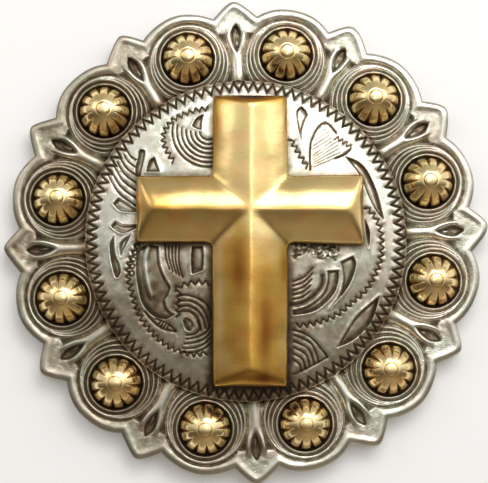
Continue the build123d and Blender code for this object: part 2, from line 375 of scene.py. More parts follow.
SCROLL_LEAVES = (
    Leaf((((194, 121), (189.5, 129)), ((195, 132), (199.5, 133)), ((200, 124), (202, 116.5)))),
    Leaf((((133, 172), (135.5, 161), (137, 153), (142, 153), (143, 158), (141, 168), (138.5, 180)),
          ((134, 180),))),
    Leaf((((147, 164), (152.5, 160)), ((154.5, 166), (158, 175)), ((144, 175),))),
    Leaf((((116.5, 200.5),), ((127, 207), (135.5, 213)), ((135.5, 215.5),), ((119, 214), (111, 207)))),
    Leaf((((113.5, 223.5),), ((122, 228), (136, 227)), ((135, 231),), ((123, 236), (115, 234),
          (109, 229)))),
    Leaf((((108, 248), (109, 261), (112.5, 276), (115.5, 280.5), (119.3, 275), (118, 267), (114, 258),
          (112.5, 249), (112, 238)),)),
    Leaf((((121, 242.5), (117.5, 249), (119, 260)), ((123, 251), (130, 237)))),
    Leaf((((134, 270), (136, 287), (141, 306), (152, 318), (164, 321), (174, 316.5)), ((166, 311),
          (163.4, 302)), ((167, 297), (169.5, 290)), ((162, 277), (158, 265), (157, 249)), ((146, 247),
          (135, 253))), 0.22,
         ((146.5, 249), (143.5, 265), (146, 285), (150, 297))),
    Leaf((((189, 262), (190, 277)), ((201, 273),), ((202, 262), (201, 249)), ((190, 249),))),
    Leaf((((184, 319), (189.5, 321.5), (192.5, 327), (189.5, 332.5), (184, 331), (181, 322)),), 0.09),
    Leaf((((295.6, 112), (294.6, 118), (297, 134), (301, 151)), ((299.7, 138), (302.5, 125),
          (306.6, 117)), ((304, 112), (300, 108)))),
    Leaf((((356.5, 163.5), (366, 173), (374, 190), (379, 206), (383, 223.5)), ((375, 214), (367, 199),
          (362, 186), (355, 173), (343, 158.5)))),
    Leaf((((368, 235), (367, 251)), ((364, 236), (363, 221)))),
    Leaf((((351, 258),), ((354, 267), (350, 281), (343, 293), (327, 311)), ((337, 297), (341, 280),
          (338, 264)))),
    Leaf((((336.5, 272),), ((336, 284), (332, 295), (322, 306), (309, 314), (290, 317)), ((290, 312),),
          ((306, 307), (320, 296), (325, 284), (325, 273)))),
    Leaf((((367, 306), (352, 320), (334, 349)), ((353, 340), (370, 322), (378, 297)))),
)

FAN_SHELL = Shell((206.3, 134.5), 36.3, 4.6, 7, 164.0, 277.0, 4.0)

SCROLL_HATCHES = (
    Hatch((125, 154), (105, 176), (134, 163), (135.5, 210), 7, -0.1),
    Hatch((163.5, 249), (177.5, 249), (168, 272), (181, 280), 5, -0.07),
    Hatch((310.5, 270), (307.5, 293.5), (290.5, 284), (290.5, 301.5), 5, 0.11),
    Hatch((292, 336.5), (291, 361), (316.5, 362.5), (299, 372), 5, 0.18),
    Hatch((159, 323.5), (166.5, 327.5), (156.5, 327), (165, 331), 4, 0.0),
    Hatch((311, 159), (312, 170), (334, 141), (341, 158), 6, 0.0, Mark.SCRATCH),
    Hatch((312, 141), (311, 153), (325, 131), (333, 139), 4, 0.0, Mark.SCRATCH),
)


def arc_points(middle: Point, radius: float, start: float, end: float, steps: int) -> list[Point]:
    """Places along an arc.

    Args:
        middle: centre of the arc.
        radius: its radius.
        start: angle in degrees at which it starts.
        end: angle at which it ends.
        steps: how many straight runs it has.

    Returns:
        The places, one more than the runs.
    """
    return [(middle[0] + radius * math.cos(turn), middle[1] + radius * math.sin(turn))
            for turn in np.radians(np.linspace(start, end, steps + 1))]


@dataclass
class Relief:
    """The face of the casting as a square grid of heights, in millimetres over the back rim.

    Each shade is how dark its place is coloured, from 0 for clean to 1 for black: tarnish, and painted
    shade where the name says painted.
    """

    half: float = 19.35
    cells: int = 1260
    rim_turn: float = 2.8
    berry_count: int = 12
    tip_radius: float = 18.99
    tip_blunts: tuple[float, ...] = (3.2, 2.6, 3.0, 2.4, 2.0, 1.6, 1.6, 1.7, 1.7, 1.7, 1.9, 1.7)
    tip_leans: tuple[float, ...] = (0.8, 0.7, 0.6, 0.2, -1.1, -0.4, -0.8, 0.3, 0.5, -0.2, 0.1, 0.1)
    wobble: float = 0.04
    crown_radius: float = 18.63
    notch_radius: float = 17.77
    notch_angle: float = 9.4
    field_z: float = 1.87
    groove_z: float = 1.70
    ring_z: float = 1.97
    rib_z: float = 2.12
    edge_z: float = 1.74
    outline_painted_shade: float = 0.16
    border_z: float = 1.97
    border_width: float = 0.42
    border_slope: float = 0.42
    border_shade: float = 0.04
    sand_shade: float = 0.08
    band_z: float = 2.22
    band_drop: float = 0.12
    band_outer: float = 12.55
    band_shade: float = 0.22
    moat_shade: float = 0.55
    recess_z: float = 1.22
    recess_slope: float = 0.42
    recess_shade: float = 0.34
    dome_ball: float = 73.41
    dome_top_z: float = 3.15
    dome_radius: float = 11.7
    clean_shade: float = 0.05
    berry_circle: float = 15.03
    ring_radii: tuple[float, ...] = (2.2, 2.55, 2.795, 3.03)
    ring_circles: tuple[float, ...] = (15.03, 15.03, 14.835, 14.64)
    ring_half: float = 0.13
    ring_wear: float = 0.44
    ring_foot_shade: float = 0.46
    first_ring_drop: float = 0.06
    pad_shade: float = 0.44
    pad_groove: float = 0.1
    socket_z: float = 1.40
    socket_radius: float = 2.0
    socket_painted_shade: float = 0.66
    berry_peg_radius: float = 0.53
    berry_peg_floor: float = 0.67
    tooth_count: int = 100
    tooth_low: float = 11.73
    tooth_high: float = 12.43
    tooth_depth: float = 0.19
    tooth_half: float = 0.11
    tooth_shade: float = 0.78
    rib_half: float = 0.43
    rib_wear: float = 0.8
    drop_inner: float = 14.74
    drop_wide: float = 16.39
    drop_outer: float = 17.22
    drop_half: float = 0.42
    drop_wall: float = 0.36
    drop_shade: float = 0.4
    spine_rise: float = 0.32
    spine_wear: float = 0.45
    cross_peg_places: tuple[Point, ...] = ((0.4, 7.25), (0.4, -7.65))
    cross_peg_radius: float = 0.63
    cross_peg_floor: float = 2.12
    cross_boxes: tuple[tuple[Point, Point], ...] = (
        ((0.28, -0.12), (2.85, 11.25)), ((0.28, 2.27), (8.7, 2.55)))
    leaf_lip: float = 0.025
    leaf_undercut: float = 0.07
    halo: float = 0.3
    halo_reach: float = 0.34
    pebbles: tuple[Point, Point] = ((287, 266), (337, 238))
    height: Grid = field(init=False)
    # Tarnish together with painted shade and painted light, from 0 for clean to 1 for black
    tarnish_and_shade: Grid = field(init=False)
    sand: Grid = field(init=False)

    def __post_init__(self) -> None:
        """Carve the face and work out where it darkens, by tarnish and by painted shade and light."""
        line = np.linspace(-self.half, self.half, self.cells)
        self.x, self.y = np.meshgrid(line, line)
        self.cell = line[1] - line[0]
        self.step = 360.0 / self.berry_count
        self.radius = np.hypot(self.x, self.y)
        self.middle = 1.0 - smooth_step(self.band_outer - 0.3, self.band_outer + 0.3, self.radius)
        # Painted shade: a mask that rises towards the lower left of the dome, away from the light; it
        # darkens the face there and widens its cuts
        self.shade_side = smooth_step(7.0, -8.0, self.y + 0.3 * self.x) * self.middle
        self._fold()
        self._measure()
        self._carve_border()
        self._carve_ribs()
        self._carve_teardrops()
        self._carve_rings()
        self._carve_dome()
        self._carve_zigzag()
        self._carve_scrolls()
        self._carve_pebbles()
        self._gather_tarnish_and_paint_shade()
        self._cast_unevenly()

    def _fold(self) -> None:
        """Fold the face onto one lobe: places along and across the line of a berry and of a point."""
        self.angle = np.degrees(np.arctan2(self.y, self.x)) - self.rim_turn
        from_berry = np.mod(self.angle, self.step) - self.step / 2
        self.along = self.radius * np.cos(np.radians(from_berry))
        self.across = self.radius * np.sin(np.radians(from_berry))
        from_tip = np.radians(self.step / 2 - np.abs(from_berry))
        self.tip_side = np.sign(from_berry)
        self.tip_along = self.radius * np.cos(from_tip)
        self.tip_across = self.radius * np.sin(from_tip)

    def _measure(self) -> None:
        """Work out how far each place lies from the outline, the rings, the ribs and the recesses."""
        reach = self.outline_radius(self.angle + self.rim_turn) - self.radius
        down, across = np.gradient(reach, self.cell)
        straight = reach / np.clip(np.hypot(down, across), 1.0, 2.0)
        self.inside = np.clip(self._blur(straight, 0.05), 0.0, None)
        self.ring_far = [np.hypot(self.along - circle, self.across) - radius
                         for circle, radius in zip(self.ring_circles, self.ring_radii)]
        self.pad = np.minimum.reduce([far - self.ring_half for far in self.ring_far[1:]])
        rise = np.clip((self.tip_along - self.drop_inner) / (self.drop_wide - self.drop_inner), 0.0, 1.0)
        fall = np.clip((self.drop_outer - self.tip_along) / (self.drop_outer - self.drop_wide), 0.0, 1.0)
        self.drop = self.drop_half * np.minimum(
            np.sin(rise * math.pi / 2) ** 1.25, np.sin(fall * math.pi / 2) ** 0.9)
        self.arm = self.rib_half + (self.drop_half + self.drop_wall - self.rib_half) * smooth_step(
            self.drop_inner - 0.6, self.drop_wide - 0.3, self.tip_along)
        self.recess = np.minimum.reduce([self.ring_far[3] - self.ring_half, self.tip_across - self.arm,
                                         self.drop_wide - self.tip_along + 0.05])

    def outline_radius(self, angle: Grid) -> Grid:
        """Radius of the outline.

        Args:
            angle: angles in degrees from the X axis.

        Returns:
            The radius at each angle.
        """
        turned = np.mod(angle - self.rim_turn + self.step / 2, 360.0)
        from_tip = np.mod(turned, self.step) - self.step / 2
        from_berry = self.step / 2 - np.abs(from_tip)
        lobe_middle, lobe_radius = self._lobe()
        turn = np.radians(from_berry)
        lobe = lobe_middle * np.cos(turn) + np.sqrt(
            np.clip(lobe_radius ** 2 - (lobe_middle * np.sin(turn)) ** 2, 0.0, None))
        flank = self.step / 2 - self.notch_angle
        number = (turned // self.step).astype(int) % self.berry_count
        lean, blunt = np.take(self.tip_leans, number), np.take(self.tip_blunts, number)
        leaned = from_tip - lean * np.clip(1.0 - np.abs(from_tip) / flank, 0.0, 1.0)
        eased = np.sqrt(leaned ** 2 + blunt ** 2) - blunt
        eased = np.radians(eased * flank / (np.hypot(flank, blunt) - blunt))
        slope_x, slope_y = self._flank()
        tip = self.tip_radius * slope_x / (slope_x * np.cos(eased) + slope_y * np.sin(eased))
        around = np.radians(angle)
        uneven = np.sin(5 * around + 0.7) + np.sin(9 * around + 2.1) + 0.6 * np.sin(31 * around)
        return np.where(from_berry <= self.notch_angle, lobe, tip) + self.wobble * uneven

    def _lobe(self) -> Point:
        """Work out the lobe's arc, on the line of a berry.

        Returns:
            How far its centre lies from the plate's middle, and its radius.
        """
        turn = math.radians(self.notch_angle)
        end_x, end_y = self.notch_radius * math.cos(turn), self.notch_radius * math.sin(turn)
        middle = (self.crown_radius ** 2 - end_x ** 2 - end_y ** 2) / (2 * (self.crown_radius - end_x))
        return middle, self.crown_radius - middle

    def _flank(self) -> Point:
        """Work out the straight flank beside a point, on the point's own line.

        Returns:
            The flank's outward direction.
        """
        turn = math.radians(self.step / 2 - self.notch_angle)
        run_x = self.tip_radius - self.notch_radius * math.cos(turn)
        run_y = self.notch_radius * math.sin(turn)
        length = math.hypot(run_x, run_y)
        return run_y / length, run_x / length

    def _darken(self, shade: Grid, window: Window = (slice(None), slice(None))) -> None:
        """Bring the tarnish of a part of the grid up to at least a shade."""
        self.tarnish_and_shade[window] = np.maximum(self.tarnish_and_shade[window], shade)

    def _carve_border(self) -> None:
        """Carve the rounded border and the sandy flat inside it, with painted shade along the outline."""
        fall = smooth_step(self.border_width, self.border_width + self.border_slope, self.inside)
        worn = np.sqrt(1.0 - (1.0 - np.clip(self.inside / self.border_width, 0.0, 1.0)) ** 2)
        border = self.edge_z + (self.border_z - self.edge_z) * worn
        self.height = border + (self.field_z - border) * fall
        self.sand = fall * (self.radius > self.band_outer)
        # Painted shade: a dark band along the outline, where the edge rolls down
        edge = 1.0 - smooth_step(0.0, 0.2, self.inside)
        self.tarnish_and_shade = self.border_shade + self.sand_shade * self.sand + self.outline_painted_shade * edge

    def _carve_ribs(self) -> None:
        """Sink the recesses between the rings and raise the forked ribs."""
        sunk = smooth_step(0.0, self.recess_slope, self.recess)
        self.height -= (self.field_z - self.recess_z) * sunk
        self._darken(self.recess_shade * smooth_step(0.03, 0.3, self.recess))
        self.sand *= 1.0 - sunk
        fade = 1.0 - smooth_step(self.drop_wide - 0.35, self.drop_outer - 0.2, self.tip_along)
        stem = round_top(self.tip_across, self.arm + 0.02) ** 0.6
        fork_half = np.clip((self.arm - self.drop) / 2 + 0.04, 0.05, None)
        fork = round_top(self.tip_across - (self.arm + self.drop) / 2, fork_half) ** 0.7
        split = smooth_step(self.drop_inner - 0.2, self.drop_inner + 0.7, self.tip_along)
        rise = (self.rib_z - self.field_z) * fade * (stem * (1 - split) + fork * split)
        on_rib = (self.tip_across - self.arm < 0.02) & (self.tip_along < self.drop_outer)
        self.height = np.where(on_rib, np.maximum(self.height, self.field_z + rise), self.height)
        self.tarnish_and_shade = np.where(on_rib, self.tarnish_and_shade * (1 - self.rib_wear * fade) + 0.02, self.tarnish_and_shade)
        self.sand = np.where(on_rib, self.sand * (1 - fade), self.sand)

    def _carve_teardrops(self) -> None:
        """Cut the teardrops in the forks of the ribs, each with a spine left in its floor."""
        between = (self.tip_along > self.drop_inner) & (self.tip_along < self.drop_outer)
        cut = smooth_step(0.0, 0.2, self.drop - self.tip_across) * between
        self.height -= cut * (self.height - self.recess_z - 0.1)
        self._darken(self.drop_shade * cut)
        run = smooth_step(self.drop_inner + 0.1, self.drop_inner + 0.4, self.tip_along)
        run = run * (1.0 - smooth_step(self.drop_wide - 0.7, self.drop_wide, self.tip_along))
        spine = round_top(self.tip_across * self.tip_side - 0.07, 0.1) * run * cut
        self.height += self.spine_rise * spine
        self.tarnish_and_shade -= self.spine_wear * spine
        self.sand *= 1 - cut

    def _carve_rings(self) -> None:
        """Turn the rings and the sockets of the berries, with the peg holes in them, and paint shade in the
        gap round each berry.
        """
        lip = round_top(self.pad - 0.05, 0.12)
        on_pad = self.pad < 0
        grooved = self.height - self.pad_groove * lip * (self.recess <= 0)
        self.height = np.where(on_pad, self.groove_z, grooved)
        self.tarnish_and_shade = np.where(on_pad, self.pad_shade, np.maximum(self.tarnish_and_shade, self.pad_shade * lip))
        self.sand = np.where(on_pad, 0.0, self.sand)
        for number, far in enumerate(self.ring_far):
            lower = self.first_ring_drop if number == 0 else 0.0
            swell = round_top(far, self.ring_half)
            top = self.groove_z + (self.ring_z - self.groove_z - lower) * swell
            shade = self.ring_foot_shade - self.ring_wear * swell + lower
            self.height = np.where(on_pad, np.maximum(self.height, top), self.height)
            self.tarnish_and_shade = np.where(on_pad, np.minimum(self.tarnish_and_shade, shade), self.tarnish_and_shade)
        far = np.hypot(self.along - self.berry_circle, self.across)
        sink = 1.0 - smooth_step(self.socket_radius - 0.01, self.socket_radius + 0.07, far)
        self.height = self.height * (1 - sink) + self.socket_z * sink
        # Painted shade in the gap round each berry, darker towards the plate's middle
        self._darken((self.socket_painted_shade - 0.12 * (self.along - self.berry_circle)) * sink)
        self.height = np.where(far < self.berry_peg_radius, self.berry_peg_floor, self.height)

    def _carve_dome(self) -> None:
        """Raise the dome and its band over the recesses, and drill the peg holes of the cross."""
        reach = np.minimum(self.radius, self.half)
        ball = self.dome_top_z - self.dome_ball + np.sqrt(self.dome_ball ** 2 - reach ** 2)
        dome = np.where(self.radius < self.dome_radius, ball, np.minimum(ball, self.band_z))
        edge = self.radius - self.band_outer
        dome = dome - self.band_drop * smooth_step(-0.32, 0.0, edge)
        fall = smooth_step(-0.02, 0.12, edge)
        wall = self.height * fall + (self.band_z - self.band_drop) * (1 - fall)
        self.height = np.where(edge < 0, dome, wall)
        worn = self.clean_shade + self.band_shade * smooth_step(-0.6, -0.1, edge)
        self.tarnish_and_shade = np.where(edge < 0, worn, self.tarnish_and_shade)
        self._darken(self.moat_shade * vee(edge - 0.1, 0.3))
        self.sand = np.where(edge < 0, 0.12 + 0.25 * self.shade_side, self.sand)
        for peg_x, peg_y in self.cross_peg_places:
            peg = np.hypot(self.x - peg_x, self.y - peg_y) < self.cross_peg_radius
            self.height = np.where(peg, self.cross_peg_floor, self.height)

    def _carve_zigzag(self) -> None:
        """Cut the zigzag round the dome, darker between its teeth and the band's edge."""
        share = np.mod(self.angle * self.tooth_count / 360.0, 1.0)
        line = self.tooth_low + (self.tooth_high - self.tooth_low) * (1.0 - np.abs(2.0 * share - 1.0))
        half_step = math.pi * (self.tooth_low + self.tooth_high) / 2 / self.tooth_count
        far = (self.radius - line) * half_step / math.hypot(half_step, self.tooth_high - self.tooth_low)
        near = np.abs(self.radius - (self.tooth_low + self.tooth_high) / 2) < 0.5
        half = self.tooth_half + 0.05 * self.shade_side
        self.height -= self.tooth_depth * vee(far, half) * near
        self.tarnish_and_shade += 0.14 * smooth_step(-0.5, 0.2, far) * (self.radius < self.band_outer) * near
        self._darken(self.tooth_shade * vee(far, half + 0.04) ** 0.75 * near)

    def _window(self, points: list[Point], margin: float) -> Window:
        """Part of the grid round some points.

        Args:
            points: places in millimetres.
            margin: room left round them.

        Returns:
            Row and column slices.
        """
        slices = []
        for line in (1, 0):
            low = min(point[line] for point in points) - margin + self.half
            high = max(point[line] for point in points) + margin + self.half
            slices.append(slice(max(0, int(low / self.cell)), int(high / self.cell) + 2))
        return tuple(slices)

    def _line_distance(self, window: Window, points: list[Point]) -> Grid:
        """Distance to a bent line.

        Args:
            window: part of the grid.
            points: the line's points in millimetres.

        Returns:
            The distance at each place of the window.
        """
        x, y = self.x[window], self.y[window]
        best = np.full(x.shape, np.inf)
        for (ax, ay), (bx, by) in zip(points, points[1:]):
            run_x, run_y = bx - ax, by - ay
            square = max(run_x ** 2 + run_y ** 2, 1e-9)
            share = np.clip(((x - ax) * run_x + (y - ay) * run_y) / square, 0.0, 1.0)
            best = np.minimum(best, np.hypot(x - ax - share * run_x, y - ay - share * run_y))
        return best

    def _within(self, window: Window, points: list[Point]) -> Grid:
        """Which places lie inside a closed outline.

        Args:
            window: part of the grid.
            points: the outline's points in millimetres.

        Returns:
            True inside.
        """
        x, y = self.x[window], self.y[window]
        inside = np.zeros(x.shape, bool)
        for (ax, ay), (bx, by) in zip(points, points[1:] + points[:1]):
            if ay != by:
                crosses = (ay > y) != (by > y)
                inside ^= crosses & (x < ax + (y - ay) * (bx - ax) / (by - ay))
        return inside

    def _cut(self, points: list[Point], stroke: Stroke) -> None:
        """Cut one groove that follows the dome, with a stain beside it.

        Args:
            points: the line's points in millimetres.
            stroke: how it is cut.
        """
        window = self._window(points, 1.4 * stroke.half_width + self.halo_reach)
        far = self._line_distance(window, points)
        half = stroke.half_width * (1.0 + 0.35 * self.shade_side[window])
        self.height[window] -= stroke.depth * vee(far, half)
        beside = self.halo * (1.0 - smooth_step(0.0, half + self.halo_reach, far))
        stain = np.maximum(vee(far, half + 0.01) ** 0.8, beside)
        self._darken(0.06 + stroke.shade * stain, window)

    def _teeth(self, line: list[Point], pitch: float, reach: float) -> list[Point]:
        """Turn a smooth line into a jagged one.

        Args:
            line: points in millimetres.
            pitch: length of one tooth along the line.
            reach: how far a tooth stands out to one side.

        Returns:
            The jagged line's points.
        """
        lengths = np.cumsum([0.0] + [math.dist(a, b) for a, b in zip(line, line[1:])])
        count = max(2, round(lengths[-1] / pitch))
        jagged = []
        for number in range(2 * count + 1):
            run = lengths[-1] * number / (2 * count)
            place = min(int(np.searchsorted(lengths, run, side="right")) - 1, len(line) - 2)
            (ax, ay), (bx, by) = line[place], line[place + 1]
            share = (run - lengths[place]) / max(lengths[place + 1] - lengths[place], 1e-9)
            side = (reach if number % 2 else 0.0) / max(math.hypot(bx - ax, by - ay), 1e-9)
            jagged.append((ax + share * (bx - ax) - side * (by - ay),
                           ay + share * (by - ay) + side * (bx - ax)))
        return jagged

    def _carve_scrolls(self) -> None:
        """Engrave the leaves, lines, fan and hatches of the scroll work."""
        for leaf in SCROLL_LEAVES:
            self._carve_leaf(leaf)
        for line in SCROLL_LINES:
            self._carve_line(line)
        for number in range(FAN_SHELL.count):
            radius = (FAN_SHELL.outer - number * FAN_SHELL.pitch) * PIXEL_MM
            start, end = (turn + number * FAN_SHELL.turn_step for turn in (FAN_SHELL.start, FAN_SHELL.end))
            self._cut(arc_points(from_photo(FAN_SHELL.centre), radius, start, end, 24), SHELL_STROKE)
        for hatch in SCROLL_HATCHES:
            self._carve_hatch(hatch)

    def _carve_leaf(self, leaf: Leaf) -> None:
        """Sink one leaf, with steep walls, a dark edge and a deeper side away from the middle.

        Args:
            leaf: the leaf's sides and depth.
        """
        outline: list[Point] = []
        corner = leaf.sides[-1][-1]
        for side in leaf.sides:
            outline.extend(photo_line((corner, *side))[:-1])
            corner = side[-1]
        window = self._window(outline, 0.3)
        far = self._line_distance(window, outline + outline[:1])
        inside = self._within(window, outline)
        deep = np.where(inside, far, 0.0)
        floor = smooth_step(0.0, 0.15, deep)
        down, across = np.gradient(deep, self.cell)
        outward = (across * self.x[window] + down * self.y[window]) / np.maximum(self.radius[window], 0.1)
        outer = np.clip(-outward, 0.0, 1.0) * (1.0 - smooth_step(0.05, 0.5, far)) * inside
        self.height[window] -= leaf.depth * floor + self.leaf_lip * round_top(deep - 0.15, 0.15) * inside
        self.height[window] += self.leaf_lip * round_top(far - 0.06, 0.08) * ~inside
        self.height[window] -= self.leaf_undercut * outer * floor
        self._darken((0.22 + 0.06 * vee(far - 0.08, 0.1) + 0.26 * outer) * inside, window)
        self.sand[window] = np.maximum(self.sand[window], 0.2 * floor)
        if leaf.ridge:
            near = self._line_distance(window, photo_line(leaf.ridge))
            self.height[window] += 0.7 * leaf.depth * round_top(near, 0.28) * floor
            self.tarnish_and_shade[window] -= 0.25 * round_top(near, 0.15) * inside

    def _carve_line(self, line: Line) -> None:
        """Engrave one line as its mark says.

        Args:
            line: the line's places, mark and stroke.
        """
        points = photo_line(line.places)
        half_width = line.stroke.half_width
        if line.mark is Mark.TEETH:
            jagged = self._teeth(points, 6.5 * half_width, 0.35)
            self._cut(jagged, Stroke(half_width * 0.9, line.stroke.depth))
        elif line.mark is Mark.BEADS:
            for middle in self._teeth(points, 0.56, 0.0)[::2]:
                self._cut(arc_points(middle, 0.2, 0.0, 360.0, 12), BEAD_STROKE)
        else:
            self._cut(points, line.stroke)

    def _carve_hatch(self, hatch: Hatch) -> None:
        """Engrave a row of lines between two guides.

        Args:
            hatch: the guides' ends, the count and the bulge.
        """
        guides = ((hatch.from_first, hatch.from_last), (hatch.to_first, hatch.to_last))
        for share in np.linspace(0.0, 1.0, hatch.count):
            start, end = (from_photo((first[0] + (last[0] - first[0]) * share,
                                      first[1] + (last[1] - first[1]) * share)) for first, last in guides)
            run_x, run_y = end[0] - start[0], end[1] - start[1]
            middle = ((start[0] + end[0]) / 2 - hatch.bulge * run_y,
                      (start[1] + end[1]) / 2 + hatch.bulge * run_x)
            self._cut(smooth_line([start, middle, end]), HATCH_STROKES[hatch.mark])

    def _carve_pebbles(self) -> None:
        """Roughen the ground under the right arm, where the photo shows it pebbled."""
        low, high = (from_photo(corner) for corner in self.pebbles)
        window = self._window([low, high], 0.0)
        rough = self._cloud(0.07, 7)[window]
        x, y = self.x[window], self.y[window]
        edge = np.minimum.reduce([x - low[0], high[0] - x, y - low[1], high[1] - y])
        share = smooth_step(0.15, 0.5, edge + 0.22 * self._cloud(0.25, 9)[window])
        self.height[window] -= share * (0.02 + 0.04 * np.clip(rough, -1.5, 1.5))
        self._darken(share * (0.3 + 0.2 * rough), window)

    def _blur(self, values: Grid, width: float) -> Grid:
        """Blur a grid.

        Args:
            values: the grid.
            width: standard deviation in millimetres.

        Returns:
            The blurred grid.
        """
        rows = np.fft.fftfreq(values.shape[0], self.cell)[:, None]
        columns = np.fft.rfftfreq(values.shape[1], self.cell)[None, :]
        pass_band = np.exp(-2.0 * (math.pi * width) ** 2 * (rows ** 2 + columns ** 2))
        return np.fft.irfft2(np.fft.rfft2(values) * pass_band, s=values.shape)

    def _cloud(self, width: float, seed: int) -> Grid:
        """Soft random ground with spots of a width, the same each run, mean 0 and deviation 1."""
        cloud = self._blur(np.random.default_rng(seed).standard_normal(self.x.shape), width)
        return cloud / cloud.std()

    def _gather_tarnish_and_paint_shade(self) -> None:
        """Darken what lies lower than the ground round it, vary the tone at random, paint shade to the
        west, the south, the lower left and round the cross's foot, and paint light to the left.
        """
        ground = np.where(self.inside <= 0, self.field_z, self.height)
        small = np.clip((self._blur(ground, 0.11) - ground) / 0.06, -0.6, 1.0)
        large = np.clip((self._blur(ground, 0.5) - ground) / 0.5, -0.5, 1.0)
        spots, patches, mottle = self._cloud(0.11, 3), self._cloud(1.6, 4), self._cloud(0.4, 10)
        near_band = smooth_step(self.band_outer - 1.4, self.band_outer - 0.1, self.radius)
        # Painted shade: the rim darker towards the west
        west = smooth_step(5.0, -15.0, self.x + 0.2 * self.y) * (1.0 - self.middle)
        # Painted shade: the dome darker at its bottom
        south = smooth_step(-7.0, -11.0, self.y) * (1.0 - near_band)
        # Painted light: the dome lighter round its left middle and towards the upper left
        clear = np.exp(-((self.x + 9.5) ** 2 + (self.y - 0.5) ** 2) / 12.0)
        clear = clear + 0.45 * smooth_step(1.0, 6.0, self.y - 0.6 * self.x)
        on_dome = (0.02 + 0.04 * self.shade_side) * (mottle + 0.6 * spots)
        on_dome += 0.12 * near_band + 0.13 * south - 0.22 * clear
        # Painted shadow round the foot of the cross, heavier on the shaded side
        by_cross = 1.0 - smooth_step(-0.1, 0.75, self._from_cross())
        tarnish_and_shade = self.tarnish_and_shade + (0.5 + 0.5 * self.middle) * (0.21 * small + 0.16 * large)
        tarnish_and_shade += 0.06 * spots * (0.4 + self.sand) + (0.035 + 0.04 * self.shade_side) * patches
        tarnish_and_shade += self.middle * on_dome + 0.24 * west + self.shade_side * (0.25 + 0.02 * near_band)
        tarnish_and_shade += (0.5 + 0.4 * self.shade_side) * by_cross
        self.tarnish_and_shade = np.clip(tarnish_and_shade, 0.0, 1.0)

    def _cast_unevenly(self) -> None:
        """Make the casting's face a little uneven, and rough on its sandy flats."""
        self.height += 0.008 * self._cloud(0.35, 5) + 0.014 * self._cloud(1.4, 6)
        self.height += 0.006 * self.sand * self._cloud(0.08, 8)

    def _from_cross(self) -> Grid:
        """Distance of each place to the foot of the cross."""
        return np.minimum.reduce([
            np.hypot(np.maximum(np.abs(self.x - middle[0]) - half[0], 0.0),
                     np.maximum(np.abs(self.y - middle[1]) - half[1], 0.0))
            for middle, half in self.cross_boxes])

    def sample(self, values: Grid, places: Grid) -> Grid:
        """Read a grid between its places.

        Args:
            values: the grid.
            places: where to read it, a row of x, y, z for each.

        Returns:
            One value for each place.
        """
        column, row = (np.clip((line + self.half) / self.cell, 0, self.cells - 1.001)
                       for line in places.T[:2])
        c, r = column.astype(int), row.astype(int)
        fc, fr = column - c, row - r
        return ((values[r, c] * (1 - fc) + values[r, c + 1] * fc) * (1 - fr)
                + (values[r + 1, c] * (1 - fc) + values[r + 1, c + 1] * fc) * fr)


# Finishes

class Nodes:
    """Short way to place and link shader nodes in one tree."""

    def __init__(self, tree: Tree) -> None:
        """Keep the tree."""
        self.tree = tree

    def feed(self, node: Node, inputs: dict) -> None:
        """Link or set some of a node's inputs.

        Args:
            node: the node.
            inputs: a value or a socket for each input, by name or number.
        """
        for key, value in inputs.items():
            if isinstance(value, Socket):
                self.tree.links.new(value, node.inputs[key])
            else:
                node.inputs[key].default_value = value

    def add(self, kind: str, inputs: dict | None = None, **settings: object) -> Node:
        """Place a node, set its properties and feed its inputs.

        Args:
            kind: the node's type, without the ShaderNode before it.
            inputs: a value or a socket for each input, by name or number.
            settings: the node's own properties.

        Returns:
            The new node.
        """
        node = self.tree.nodes.new(f"ShaderNode{kind}")
        for key, value in settings.items():
            setattr(node, key, value)
        self.feed(node, inputs or {})
        return node

    def reckon(self, operation: str, first: Socket, second: Socket | float, clamp: bool = False) -> Socket:
        """Work out one sum, such as "ADD", and keep it between 0 and 1 where asked."""
        return self.add("Math", {0: first, 1: second}, operation=operation, use_clamp=clamp).outputs[0]

    def place(self) -> Socket:
        """Place on the piece, in metres."""
        return self.add("TexCoord").outputs["Object"]

    def cloud(self, place: Socket, scale: Socket | float, detail: float, roughness: float = 0.5) -> Socket:
        """Soft noise over the piece.

        Args:
            place: where it is read.
            scale: how many spots there are in a metre.
            detail: how many finer layers it has.
            roughness: how strong they are.

        Returns:
            The noise, about 0.5 on average.
        """
        inputs = {"Vector": place, "Scale": scale, "Detail": detail, "Roughness": roughness}
        return self.add("TexNoise", inputs).outputs[0]

    def ramp(self, factor: Socket, stops: Stops) -> Socket:
        """Place a colour ramp.

        Args:
            factor: what drives it.
            stops: place and colour of each stop.

        Returns:
            The ramp's colour.
        """
        node = self.add("ValToRGB", {0: factor})
        elements = node.color_ramp.elements
        for number, (place, colour) in enumerate(stops):
            stop = elements[number] if number < 2 else elements.new(place)
            stop.position = place
            stop.color = (*colour, 1.0)
        return node.outputs[0]

    def span(self, value: Socket, low: float, high: float, start: float = 0.0, end: float = 1.0) -> Socket:
        """Map what runs from start to end onto what runs from low to high, and no further."""
        return self.add("MapRange", {0: value, 1: start, 2: end, 3: low, 4: high}).outputs[0]


